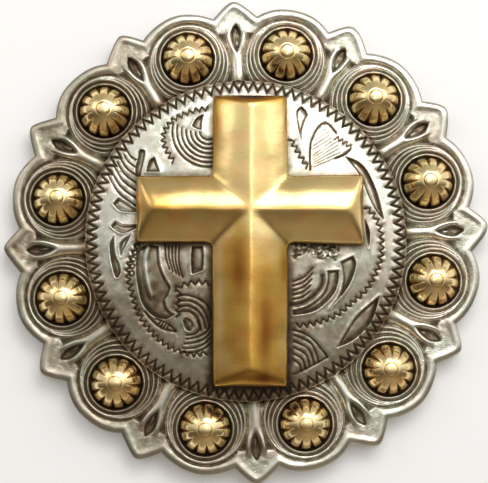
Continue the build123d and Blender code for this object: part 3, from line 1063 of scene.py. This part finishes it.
class GroupNodes(Nodes):
    """Nodes of a shared shader group with number inputs and one number output."""

    def __init__(self, name: str, inputs: dict[str, float], output: str) -> None:
        """Make the group and its sockets.

        Args:
            name: the group's name.
            inputs: default value of each input, by name.
            output: name of the output.
        """
        super().__init__(bpy.data.node_groups.new(name, "ShaderNodeTree"))
        for key, value in inputs.items():
            socket = self.tree.interface.new_socket(name=key, in_out="INPUT", socket_type="NodeSocketFloat")
            socket.default_value = value
        self.tree.interface.new_socket(name=output, in_out="OUTPUT", socket_type="NodeSocketFloat")
        self.given = self.tree.nodes.new("NodeGroupInput").outputs

    def finish(self, result: Socket) -> Tree:
        """Link the output, and return the group."""
        self.tree.links.new(result, self.tree.nodes.new("NodeGroupOutput").inputs[0])
        return self.tree


def tarnish_group() -> Tree:
    """Mask that breaks a piece's tarnish and painted shade up with fine blotches.

    Returns:
        The group, with Mask as its output.
    """
    nodes = GroupNodes("tarnish_blotches", {"Tarnish and shade": 0.0, "Scale": 1.0, "Amount": 0.2}, "Mask")
    centred = nodes.reckon("SUBTRACT", nodes.cloud(nodes.place(), nodes.given["Scale"], 5.0, 0.65), 0.5)
    blotch = nodes.reckon("MULTIPLY", centred, nodes.given["Amount"])
    return nodes.finish(nodes.reckon("ADD", nodes.given["Tarnish and shade"], blotch, clamp=True))


def grain_group() -> Tree:
    """Height of a metal's fine grain: sandy casting where Sand is 1, light handling marks elsewhere.

    Returns:
        The group, with Height as its output.
    """
    nodes = GroupNodes("metal_grain", {"Sand": 0.0, "Scale": 1.0, "Marks": 0.3}, "Height")
    place = nodes.place()
    fine = nodes.cloud(place, nodes.given["Scale"], 4.0, 0.7)
    sandy = nodes.reckon("MULTIPLY", fine, nodes.given["Sand"])
    long = nodes.add("Mapping", {"Vector": place, "Location": (0.05, 0.05, 0.05), "Scale": (0.35, 1.4, 1.0),
                                 "Rotation": (0.0, 0.0, 0.6)}).outputs[0]
    coarse = nodes.reckon("MULTIPLY", nodes.given["Scale"], 0.4)
    marked = nodes.reckon("MULTIPLY", nodes.cloud(long, coarse, 3.0), nodes.given["Marks"])
    return nodes.finish(nodes.reckon("ADD", sandy, marked))


def drift_group() -> Tree:
    """Soft drifting mask by which a metal's tint wanders between two colours.

    Returns:
        The group, with Mask as its output.
    """
    nodes = GroupNodes("tint_drift", {"Scale": 420.0}, "Mask")
    cloud = nodes.cloud(nodes.place(), nodes.given["Scale"], 3.0, 0.6)
    return nodes.finish(nodes.span(cloud, 0.0, 1.0, 0.38, 0.62))


@dataclass(frozen=True)
class MetalFinish:
    """One antiqued metal: its colours from clean to black, its gloss and its grain.

    Gloss and metallic hold the value where it is clean and where it is black.
    """

    name: str
    colours: Stops
    gloss: Point
    metallic: Point
    blotch_scale: float
    blotch_amount: float
    grain_scale: float
    grain_depth: float
    marks: float
    tints: tuple[Triple, Triple]
    tint_scale: float = 420.0

    def build(self, blotches: Tree, grain: Tree, drift: Tree) -> Material:
        """Make the material.

        Args:
            blotches: the shared tarnish group.
            grain: the shared grain group.
            drift: the shared tint group.

        Returns:
            The material.
        """
        material = bpy.data.materials.new(self.name)
        material.use_nodes = True
        nodes = Nodes(material.node_tree)
        # The tarnish attribute carries patina together with painted shade and painted light
        tarnish_and_shade, sand = (nodes.add("Attribute", attribute_name=name).outputs["Fac"]
                         for name in ("tarnish_and_shade", "sand"))
        mask = nodes.add("Group", {"Tarnish and shade": tarnish_and_shade, "Scale": self.blotch_scale,
                                   "Amount": self.blotch_amount}, node_tree=blotches).outputs[0]
        height = nodes.add("Group", {"Sand": sand, "Scale": self.grain_scale, "Marks": self.marks},
                           node_tree=grain).outputs[0]
        wander = nodes.add("Group", {"Scale": self.tint_scale}, node_tree=drift).outputs[0]
        bump = nodes.add("Bump", {"Height": height, "Strength": 1.0, "Distance": self.grain_depth * MM})
        tint = nodes.ramp(wander, ((0.0, self.tints[0]), (1.0, self.tints[1])))
        tinted = nodes.add("Mix", {"Factor": 1.0, 6: nodes.ramp(mask, self.colours), 7: tint},
                           data_type="RGBA", blend_type="MULTIPLY")
        nodes.feed(material.node_tree.nodes["Principled BSDF"], {
            "Base Color": tinted.outputs[2], "Roughness": nodes.span(mask, *self.gloss),
            "Metallic": nodes.span(mask, *self.metallic), "Normal": bump.outputs[0]})
        return material


SILVER = MetalFinish(
    name="antiqued_silver", gloss=(0.27, 0.55), metallic=(1.0, 0.6),
    colours=((0.0, (0.655, 0.64, 0.59)), (0.3, (0.375, 0.342, 0.272)), (0.62, (0.17, 0.122, 0.075)),
             (1.0, (0.035, 0.025, 0.017))),
    blotch_scale=2600.0, blotch_amount=0.26, grain_scale=6500.0, grain_depth=0.035, marks=0.12,
    tints=((0.94, 1.0, 0.94), (1.05, 0.97, 0.92)))
CROSS_GOLD = MetalFinish(
    name="satin_gold", gloss=(0.19, 0.36), metallic=(1.0, 0.85),
    colours=((0.0, (0.86, 0.67, 0.35)), (0.42, (0.53, 0.31, 0.07)), (0.8, (0.24, 0.10, 0.015)),
             (1.0, (0.04, 0.02, 0.01))),
    blotch_scale=900.0, blotch_amount=0.2, grain_scale=3000.0, grain_depth=0.012, marks=0.5,
    tints=((0.98, 1.02, 0.9), (1.05, 0.93, 0.84)))
BERRY_GOLD = MetalFinish(
    name="antiqued_gold", gloss=(0.17, 0.5), metallic=(1.0, 0.75),
    colours=((0.0, (0.97, 0.81, 0.47)), (0.35, (0.64, 0.41, 0.14)), (0.65, (0.19, 0.095, 0.035)),
             (1.0, (0.03, 0.015, 0.009))),
    blotch_scale=2200.0, blotch_amount=0.25, grain_scale=4000.0, grain_depth=0.025, marks=0.35,
    tints=((0.98, 1.01, 0.94), (1.04, 0.95, 0.87)))
POST_STEEL = MetalFinish(
    name="satin_steel", gloss=(0.3, 0.5), metallic=(1.0, 1.0),
    colours=((0.0, (0.62, 0.62, 0.62)), (0.5, (0.45, 0.45, 0.45)), (0.8, (0.2, 0.19, 0.18)),
             (1.0, (0.05, 0.05, 0.05))),
    blotch_scale=1500.0, blotch_amount=0.3, grain_scale=3000.0, grain_depth=0.02, marks=0.5,
    tints=((1.0, 1.0, 1.0), (0.97, 0.98, 1.0)))


def seat(piece: Piece, material: Material, slot: str, *nodes: str) -> None:
    """Shade a finished piece smooth, dress it and tie it to the frame.

    Args:
        piece: the piece.
        material: its finish.
        slot: name of its material slot; not used.
        nodes: the frame's nodes that it stands for.
    """
    make_active(piece)
    bpy.ops.object.shade_smooth()
    piece.data.materials.clear()
    piece.data.materials.append(material)
    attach(piece, BODY)
    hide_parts(*nodes)
    LOG.info("%s: %d faces", piece.name, len(piece.data.polygons))


# Pieces

@dataclass
class BasePlate:
    """The silver casting: a fine disc and a lathed rim, pressed to the relief and thinned."""

    relief: Relief
    disc_cells: int = 450
    rim_steps: int = 1800
    rim_rings: int = 150
    disc_radius: float = 11.6
    flat_z: float = 4.0
    edge_ring_z: float = 1.55
    edge_bottom: float = 0.14
    hollow_radius: float = 11.16
    hollow_top: float = 10.66
    hollow_rings: tuple[float, ...] = (0.8, 0.6, 0.42)
    ceiling_ball: float = 72.31
    ceiling_z: float = 2.05
    seat_radius: float = 3.03
    seat_z: float = 2.40
    pit_radius: float = 1.72
    pit_z: float = 2.65
    keep_triangles: int = 192000
    scale_from: float = 16.9
    face_reach: float = 0.25
    side_painted_shade: float = 0.22
    side_floor_painted_shade: float = 0.3
    back_shade: float = 0.42
    back_sand: float = 0.6

    def build(self, material: Material) -> None:
        """Make the whole casting and seat it.

        Args:
            material: its finish.
        """
        disc = self._disc()
        rim = self._rim()
        make_active(disc)
        rim.select_set(True)
        bpy.ops.object.join()
        piece = name_piece("silver_casting")
        self._press(piece)
        close_mesh(0.004)
        triangles = sum(len(face.vertices) - 2 for face in piece.data.polygons)
        apply_modifier(piece, "DECIMATE", ratio=self.keep_triangles / triangles)
        self._stain(piece)
        seat(piece, material, "plate_silver", "base_plate")

    def _disc(self) -> Piece:
        """Ease a square grid into a disc of even cells, for the middle of the face.

        Returns:
            The disc.
        """
        deselect_all()
        bpy.ops.mesh.primitive_grid_add(x_subdivisions=self.disc_cells, y_subdivisions=self.disc_cells,
                                        size=2.0 * MM)
        disc = name_piece("disc")
        across, along, _ = coordinates(disc).T
        wide = np.abs(across) >= np.abs(along)
        reach, other = np.where(wide, across, along), np.where(wide, along, across)
        turn = math.pi / 4 * other / np.where(np.abs(reach) < 1e-9, 1.0, reach)
        far, near = reach * np.cos(turn), reach * np.sin(turn)
        x = np.where(wide, far, near) * self.disc_radius
        y = np.where(wide, near, far) * self.disc_radius
        swing = math.radians(self.relief.rim_turn)
        set_coordinates(disc, np.stack([x * math.cos(swing) - y * math.sin(swing),
                                        x * math.sin(swing) + y * math.cos(swing),
                                        np.full(len(x), self.flat_z)], axis=1))
        return disc

    def _ceiling(self, radius: float) -> Point:
        """Point of the dished back's ceiling at a radius."""
        return radius, self.ceiling_z - self.ceiling_ball + math.sqrt(self.ceiling_ball ** 2 - radius ** 2)

    def _rim(self) -> Piece:
        """Spin the outer face, the edge and the dished back from one profile.

        Returns:
            The rim.
        """
        crown = self.relief.crown_radius
        profile = [
            (self.disc_radius, self.flat_z), (crown, self.flat_z), (crown, self.edge_ring_z),
            (crown, self.edge_bottom), (crown - 0.04, 0.04), (crown - 0.14, 0.0), (self.scale_from, 0.0),
            (self.hollow_radius + 0.12, 0.0), (self.hollow_radius, 0.1), self._ceiling(self.hollow_top),
            *(self._ceiling(self.hollow_top * share) for share in self.hollow_rings),
            self._ceiling(self.seat_radius), (self.seat_radius, self.seat_z),
            (self.pit_radius, self.seat_z), (self.pit_radius, self.pit_z), (0.0, self.pit_z)]
        return lathe("rim", profile, self.rim_steps, self.relief.rim_turn, {0: self.rim_rings, 2: 3})

    def _press(self, piece: Piece) -> None:
        """Fit the rim to the outline and press the face to the relief.

        Args:
            piece: the joined disc and rim.
        """
        places = coordinates(piece)
        x, y, z = places.T
        radius = np.hypot(x, y)
        crown = self.relief.crown_radius
        outline = self.relief.outline_radius(np.degrees(np.arctan2(y, x)))
        fitted = self.scale_from + (radius - self.scale_from) * (outline - self.scale_from) / (
            crown - self.scale_from)
        places[:, :2] *= np.where(radius > self.scale_from, fitted / np.maximum(radius, 1e-6), 1.0)[:, None]
        pressed = self.relief.sample(self.relief.height, places)
        pressed = np.where(radius > crown - 0.02, self.relief.edge_z, pressed)
        z[:] = np.where(z > self.flat_z - 0.01, pressed, z)
        set_coordinates(piece, places)

    def _stain(self, piece: Piece) -> None:
        """Keep tarnish and sand for each vertex, with painted shade on the sides.

        Args:
            piece: the thinned casting.
        """
        places = coordinates(piece)
        x, y, z = places.T
        pressed, tarnish_and_shade, sand = (self.relief.sample(values, places) for values in (
            self.relief.height, self.relief.tarnish_and_shade, self.relief.sand))
        face = np.abs(z - pressed) < self.face_reach
        side = ~face & (np.hypot(x, y) > self.relief.notch_radius - 0.3)
        # Painted shade: the sides darker, most of all near the floor
        foot = self.side_painted_shade + self.side_floor_painted_shade * smooth_step(1.4, 0.1, z)
        unseen = np.where(side, foot, self.back_shade)
        set_attribute(piece, "tarnish_and_shade", np.where(face, tarnish_and_shade, unseen))
        set_attribute(piece, "sand", np.where(face, sand, self.back_sand))


@dataclass
class Berries:
    """The fluted gold domes: one is modelled, and a copy goes to each place of the frame."""

    names: tuple[str, ...] = tuple(f"berry_{number:02d}" for number in range(1, 13))
    radius: float = 1.96
    dome_z: float = 1.66
    base_z: float = 1.43
    base_radius: float = 1.2
    peg_radius: float = 0.5
    peg_z: float = 0.70
    button_radius: float = 0.49
    button_z: float = 3.64
    button_steps: tuple[float, ...] = (-0.21, -0.06, 0.0, 0.03, 0.11)
    button_drops: tuple[float, ...] = (0.022, 0.052, 0.075, 0.118, 0.112)
    steps: int = 180
    flutes: int = 12
    flute_start: float = 27.0
    flute_full: float = 62.0
    flute_depth: float = 0.19
    flute_half: Point = (2.0, 5.6)
    flute_ease: float = 8.0
    flutes_from: float = 0.66
    petal_swell: float = 0.04
    clean_shade: float = 0.05
    groove_shade: float = 0.75
    crease_shade: float = 0.4
    underside_painted_shade: float = 0.35
    sand: float = 0.15
    lower_side_painted_shade: float = 0.22
    shade_way: Point = (0.35, -0.94)
    turns: tuple[float, ...] = (0.0, 9.0, -6.0, 4.0, 12.0, -3.0, 7.0, -10.0, 2.0, 14.0, -8.0, 5.0)

    def build(self, material: Material) -> None:
        """Make all berries and seat them, each with painted shade on its lower side.

        Args:
            material: the berries' finish.
        """
        first, tarnish_and_shade = self._model()
        for name, extra in zip(self.names, self.turns):
            low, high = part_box(name)
            middle = (low + high) / 2
            piece = first.copy()
            piece.data = first.data.copy()
            piece.name = f"gilt_{name}"
            piece.data.name = piece.name
            bpy.context.scene.collection.objects.link(piece)
            turn = math.atan2(middle.y, middle.x) + math.radians(extra)
            place = Matrix.Translation((middle.x, middle.y, 0.0))
            piece.data.transform(place @ Matrix.Rotation(turn, 4, "Z"))
            x, y, _ = coordinates(piece).T
            # Painted shade: darker towards each berry's lower side
            lower = self.shade_way[0] * (x - middle.x / MM) + self.shade_way[1] * (y - middle.y / MM)
            painted_shade = self.lower_side_painted_shade * smooth_step(0.3, self.radius, lower)
            set_attribute(piece, "tarnish_and_shade", tarnish_and_shade + painted_shade)
            seat(piece, material, "berry_gold", name)
        bpy.data.objects.remove(first)

    def _profile(self) -> list[Point]:
        """Radius and height of one berry, from its top over the button and the dome to its peg.

        Returns:
            The profile's points.
        """
        points = [(0.0, self.button_z)]
        for reach, drop in zip(self.button_steps, self.button_drops):
            points.append((self.button_radius + reach, self.button_z - drop))
        for polar in range(21, 91, 3):
            turn = math.radians(polar)
            points.append((self.radius * math.sin(turn), self.dome_z + self.radius * math.cos(turn)))
        return points + [(self.radius, self.base_z + 0.05), (self.radius - 0.05, self.base_z),
                         (self.base_radius, self.base_z), (self.peg_radius, self.base_z),
                         (self.peg_radius, self.peg_z), (0.0, self.peg_z)]

    def _model(self) -> tuple[Piece, Grid]:
        """Spin the profile and press the flutes in.

        Returns:
            The model, and the tarnish of each vertex.
        """
        piece = lathe("berry_model", self._profile(), self.steps)
        places = coordinates(piece)
        x, y, z = places.T
        across = np.hypot(x, y)
        polar = np.degrees(np.arctan2(across, np.maximum(z - self.dome_z, 0.0)))
        outside = (across > self.flutes_from) & (z > self.base_z + 0.01)
        step = 360.0 / self.flutes
        from_flute = np.abs(np.mod(np.degrees(np.arctan2(y, x)), step) - step / 2)
        opening = smooth_step(self.flute_start, self.flute_full, polar)
        half = self.flute_half[0] + (self.flute_half[1] - self.flute_half[0]) * opening
        begun = smooth_step(self.flute_start, self.flute_start + self.flute_ease, polar)
        groove = vee(from_flute, half) * begun * outside
        depth = self.flute_depth * (0.3 + 0.7 * opening)
        petal = (round_top(step / 2 - from_flute, step / 2) - 1.0) * opening * outside * self.petal_swell
        inward = 1.0 - (depth * groove ** 0.8 - petal) / self.radius
        crease = round_top(across - self.button_radius - 0.04, 0.06) * (z > self.dome_z)
        places[:, :2] *= inward[:, None]
        z[:] = np.where(outside & (z > self.dome_z), self.dome_z + (z - self.dome_z) * inward, z)
        set_coordinates(piece, places)
        set_attribute(piece, "sand", np.full(len(polar), self.sand))
        tarnish_and_shade = self.clean_shade + self.groove_shade * groove ** 0.9 + self.crease_shade * crease
        # Painted shade on the dome's underside, where it curves into the socket
        return piece, tarnish_and_shade + self.underside_painted_shade * smooth_step(80.0, 96.0, polar)


@dataclass
class Cross:
    """The gold Latin cross: two hipped bars, joined, worn soft and slightly hammered."""

    middle_x: float = 0.28
    middle_y: float = -0.12
    arm_y: float = 2.27
    length: float = 22.6
    span: float = 17.3
    upright_width: float = 5.6
    arm_width: float = 5.2
    foot_z: float = 2.28
    wall_z: float = 3.70
    ridge_z: float = 4.80
    upright_hip: float = 1.0
    arm_hip: float = 1.3
    ridge_shift: float = 0.2
    bow: float = 0.17
    flare: float = 0.05
    peg_x: float = 0.4
    peg_places: Point = (7.25, -7.65)
    dome_ball: float = 73.44
    dome_ball_z: float = -70.26
    peg_radius: float = 0.6
    peg_z: float = 2.15
    grain: float = 0.1
    soften: int = 50
    pillow: float = 0.12
    dent: float = 0.055
    dent_size: float = 3.6
    clean_shade: float = 0.05
    lower_left_painted_shade: float = 0.26
    dent_shade: float = 0.08
    steep_side_painted_shade: float = 0.3
    foot_painted_shade: float = 0.5
    sand: float = 0.25

    def build(self, material: Material) -> None:
        """Make the cross and seat it.

        Args:
            material: its finish.
        """
        piece = self._bar("upright", self.length, self.upright_width, self.upright_hip, self.ridge_shift,
                          math.pi / 2, self.middle_y)
        arms = self._bar("arms", self.span, self.arm_width, self.arm_hip, 0.0, 0.0, self.arm_y)
        self._combine(piece, arms, "UNION")
        self._combine(piece, self._dome(), "DIFFERENCE")
        for place in self.peg_places:
            self._combine(piece, self._peg(place), "UNION")
        apply_modifier(piece, "REMESH", mode="VOXEL", voxel_size=self.grain * MM, adaptivity=0.0)
        apply_modifier(piece, "SMOOTH", factor=0.5, iterations=self.soften)
        self._hammer(piece)
        make_active(piece)
        name_piece("gilt_cross")
        seat(piece, material, "cross_gold", "cross")

    def _bar(self, name: str, length: float, width: float, hip: float, shift: float, turn: float,
             y: float) -> Piece:
        """One bar: a block whose top is drawn up to a ridge that stops short of both ends.

        Args:
            name: name of the bar.
            length: its length.
            width: its width.
            hip: how far the ridge stops from each end.
            shift: how far the ridge lies nearer to the far end.
            turn: turn round Z.
            y: place of its middle.

        Returns:
            The bar.
        """
        deselect_all()
        bpy.ops.mesh.primitive_cube_add(size=MM)
        bar = name_piece(name)
        edit_all()
        bpy.ops.transform.resize(value=(length, width, self.wall_z - self.foot_z),
                                 center_override=(0.0, 0.0, 0.0))
        bpy.ops.transform.translate(value=(0.0, 0.0, (self.wall_z + self.foot_z) / 2 * MM))
        bpy.ops.mesh.select_all(action="DESELECT")
        bpy.ops.object.mode_set(mode="OBJECT")
        for face in bar.data.polygons:
            face.select = face.normal.z > 0.9
        bpy.ops.object.mode_set(mode="EDIT")
        bpy.ops.mesh.select_mode(type="FACE")
        rise = (0.0, 0.0, (self.ridge_z - self.wall_z) * MM)
        bpy.ops.mesh.extrude_region_move(TRANSFORM_OT_translate={"value": rise})
        bpy.ops.transform.resize(value=((length - 2 * hip) / length, 0.0, 1.0),
                                 center_override=(0.0, 0.0, self.ridge_z * MM))
        bpy.ops.transform.translate(value=(shift * MM, 0.0, 0.0))
        close_mesh(0.01)
        place = Matrix.Translation((self.middle_x * MM, y * MM, 0.0))
        bar.data.transform(place @ Matrix.Rotation(turn, 4, "Z"))
        return bar

    def _dome(self) -> Piece:
        """Cap of the ball that the foot of the cross follows.

        Returns:
            The cap.
        """
        reach = self.length / 2 + 3.0
        radii = [reach * number / 30 for number in range(31)]
        profile = [(radius, self.dome_ball_z + math.sqrt(self.dome_ball ** 2 - radius ** 2))
                   for radius in radii]
        return lathe("dome_cap", profile + [(reach, 0.0), (0.0, 0.0)], 180)

    def _peg(self, place: float) -> Piece:
        """Peg under one end of the upright.

        Args:
            place: where it stands along the upright.

        Returns:
            The peg.
        """
        deselect_all()
        top = self.wall_z - 0.2
        bpy.ops.mesh.primitive_cylinder_add(
            vertices=32, radius=self.peg_radius * MM, depth=(top - self.peg_z) * MM,
            location=(self.peg_x * MM, place * MM, (top + self.peg_z) / 2 * MM))
        peg = name_piece("cross_peg")
        bpy.ops.object.transform_apply(location=True, rotation=False, scale=False)
        return peg

    def _combine(self, piece: Piece, other: Piece, how: str) -> None:
        """Join or cut with another solid, by "UNION" or "DIFFERENCE", and remove the other."""
        apply_modifier(piece, "BOOLEAN", object=other, operation=how, solver="EXACT")
        bpy.data.objects.remove(other)

    def _hammer(self, piece: Piece) -> None:
        """Dent the faces lightly, paint shade low on the walls, on the steep sides and towards the lower
        left, and paint reflections and shade in patches.

        Args:
            piece: the softened cross.
        """
        normals = np.zeros(len(piece.data.vertices) * 3)
        piece.data.vertices.foreach_get("normal", normals)
        normals = normals.reshape(-1, 3)
        places = coordinates(piece)
        dents = np.array([noise.noise(Vector(place) / self.dent_size)
                          + 0.5 * noise.noise(Vector(place) * 2.2 / self.dent_size) for place in places])
        upper = smooth_step(self.foot_z + 0.9, self.wall_z, places[:, 2])
        rise = np.clip((places[:, 2] - self.wall_z) / (self.ridge_z - self.wall_z), 0.0, 1.0)
        swell = self.pillow * np.sin(math.pi * rise)
        places += normals * (self.dent * dents * upper + swell)[:, None]
        x, y, z = places.T
        body = z > self.foot_z + 0.1
        aside = x - self.middle_x
        bowed = self.bow * round_top(y - self.arm_y + 1.5, 0.62 * self.length)
        x += body * bowed * np.clip(aside / (self.upright_width / 2), -1.0, 1.0)
        y += body * self.flare * smooth_step(2.0, 8.0, aside) * (y - self.arm_y)
        set_coordinates(piece, places)
        # Painted shade: darker low on the walls near the plate, and on the steep sides
        low = 1.0 - smooth_step(self.foot_z + 0.4, self.wall_z - 0.1, z)
        wall = 1.0 - smooth_step(0.15, 0.7, np.clip(normals[:, 2], 0.0, 1.0))
        # Painted shade: darker towards the lower left, away from the light
        tarnish_and_shade = self.clean_shade + self.lower_left_painted_shade * smooth_step(9.0, -7.0, y + 0.3 * x)
        tarnish_and_shade += self.dent_shade * dents + self.steep_side_painted_shade * wall + self.foot_painted_shade * low
        # Painted reflections and painted shade in patches over the facets
        for patch in CROSS_PAINTED_REFLECTIONS:
            middle_x, middle_y = from_photo(patch.middle)
            reach_x, reach_y = patch.reach[0] * PIXEL_MM, patch.reach[1] * PIXEL_MM
            away = ((x - middle_x) / reach_x) ** 2 + ((y - middle_y) / reach_y) ** 2
            tarnish_and_shade += patch.amount * np.exp(-away)
        set_attribute(piece, "tarnish_and_shade", tarnish_and_shade)
        set_attribute(piece, "sand", np.full(len(places), self.sand))


@dataclass(frozen=True)
class SoftBox:
    """One soft light: its place and size in metres, its power in watts and its tint."""

    name: str
    place: Triple
    size: Point
    power: float
    tint: Triple


@dataclass
class Studio:
    """Pale floor, soft lights and the photo's camera.

    The room is a bow of shades from south to north over the piece, stronger to the east and overhead.
    """

    floor_size: float = 1.2
    floor_glow: float = 0.12
    elevation: float = 85.5
    lean: float = -1.4
    distance: float = 125.0
    look_at: Triple = (-0.16, 0.0, 1.8)
    photo_width_mm: float = 38.22
    photo_drop_mm: float = 0.11
    sensor: float = 36.0
    east_strength: Point = (0.77, 1.17)
    overhead_strength: Point = (0.6, 1.0)
    boxes: tuple[SoftBox, ...] = (
        SoftBox("top_light", (0.024, 0.078, 0.125), (0.085, 0.06), 0.062, (1.0, 0.995, 0.985)),
        SoftBox("crest_light", (0.018, 0.020, 0.140), (0.014, 0.05), 0.005, (1.0, 0.99, 0.96)),
        SoftBox("west_panel", (-0.054, 0.036, 0.050), (0.035, 0.035), 0.004, (1.0, 0.97, 0.92)),
        SoftBox("east_panel", (0.054, 0.036, 0.050), (0.035, 0.035), 0.005, (1.0, 0.98, 0.95)))
    room: Stops = (
        (0.0, (0.70, 0.61, 0.51)), (0.16, (0.45, 0.36, 0.26)), (0.3, (0.20, 0.16, 0.11)),
        (0.37, (0.18, 0.15, 0.11)), (0.45, (0.38, 0.35, 0.30)), (0.49, (0.62, 0.59, 0.54)),
        (0.53, (0.98, 0.96, 0.93)), (0.6, (1.34, 1.33, 1.31)), (0.7, (1.42, 1.42, 1.42)),
        (0.78, (1.22, 1.2, 1.17)), (0.86, (0.85, 0.80, 0.74)), (1.0, (0.8, 0.77, 0.72)))

    def build(self) -> None:
        """Make the floor, the camera, the lights and the room."""
        self._floor()
        self._camera()
        for box in self.boxes:
            self._light(box)
        self._room()

    def _room(self) -> None:
        """Surround the piece with soft shades for its metals to reflect."""
        world = bpy.data.worlds.new("soft_room")
        bpy.context.scene.world = world
        world.use_nodes = True
        nodes = Nodes(world.node_tree)
        direction = nodes.add("TexCoord").outputs["Generated"]
        x, y, z = nodes.add("SeparateXYZ", {0: direction}).outputs
        east = nodes.span(x, *self.east_strength, -0.25, 0.25)
        high = nodes.span(z, *self.overhead_strength, 0.6, 0.95)
        nodes.feed(world.node_tree.nodes["Background"], {
            "Color": nodes.ramp(nodes.span(y, 0.0, 1.0, -1.0, 1.0), self.room),
            "Strength": nodes.reckon("MULTIPLY", east, high)})
        bpy.context.scene.view_settings.view_transform = "Standard"

    def _floor(self) -> None:
        """Lay a wide pale sheet under the back rim."""
        deselect_all()
        bpy.ops.mesh.primitive_grid_add(x_subdivisions=2, y_subdivisions=2, size=self.floor_size)
        floor = name_piece("floor")
        material = bpy.data.materials.new("pale_floor")
        material.use_nodes = True
        nodes = Nodes(material.node_tree)
        cloud = nodes.cloud(nodes.place(), 30.0, 2.0)
        nodes.feed(material.node_tree.nodes["Principled BSDF"], {
            "Base Color": nodes.ramp(cloud, ((0.3, (0.955, 0.96, 0.97)), (0.7, (0.97, 0.975, 0.985)))),
            "Roughness": 0.9, "Specular IOR Level": 0.1,
            "Emission Color": (1.0, 1.0, 1.0, 1.0), "Emission Strength": self.floor_glow})
        floor.data.materials.append(material)

    def _camera(self) -> None:
        """Set the camera at the photo's angle and framing."""
        turn = math.radians(self.elevation)
        back = Vector((math.sin(math.radians(self.lean)), -math.cos(turn), math.sin(turn))).normalized()
        target = Vector(self.look_at) * MM + Vector((0.0, -self.photo_drop_mm * MM, 0.0))
        data = bpy.data.cameras.new("camera")
        data.sensor_width = self.sensor
        data.lens = self.sensor * self.distance / self.photo_width_mm
        data.clip_start, data.clip_end = 0.01, 5.0
        camera = bpy.data.objects.new("camera", data)
        camera.location = target + back * self.distance * MM
        side = Vector((0.0, 1.0, 0.0)).cross(back).normalized()
        camera.rotation_euler = Matrix((side, back.cross(side), back)).transposed().to_euler()
        bpy.context.scene.collection.objects.link(camera)
        bpy.context.scene.camera = camera

    def _light(self, box: SoftBox) -> None:
        """Hang one soft box, aimed at the piece.

        Args:
            box: its place, size, power and tint.
        """
        data = bpy.data.lights.new(box.name, "AREA")
        data.shape = "RECTANGLE"
        data.size, data.size_y = box.size
        data.energy = box.power
        data.color = box.tint
        lamp = bpy.data.objects.new(box.name, data)
        lamp.location = box.place
        lamp.rotation_euler = (-Vector(box.place)).to_track_quat("-Z", "Y").to_euler()
        bpy.context.scene.collection.objects.link(lamp)


def main() -> None:
    """Build the studio and every piece, and give the screw post its finish."""
    logging.basicConfig(level=logging.INFO)
    Studio().build()
    groups = (tarnish_group(), grain_group(), drift_group())
    BasePlate(Relief()).build(SILVER.build(*groups))
    Berries().build(BERRY_GOLD.build(*groups))
    Cross().build(CROSS_GOLD.build(*groups))
    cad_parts["screw_post"].material_slots[0].material = POST_STEEL.build(*groups)
    deselect_all()


if __name__ == "__main__":
    main()
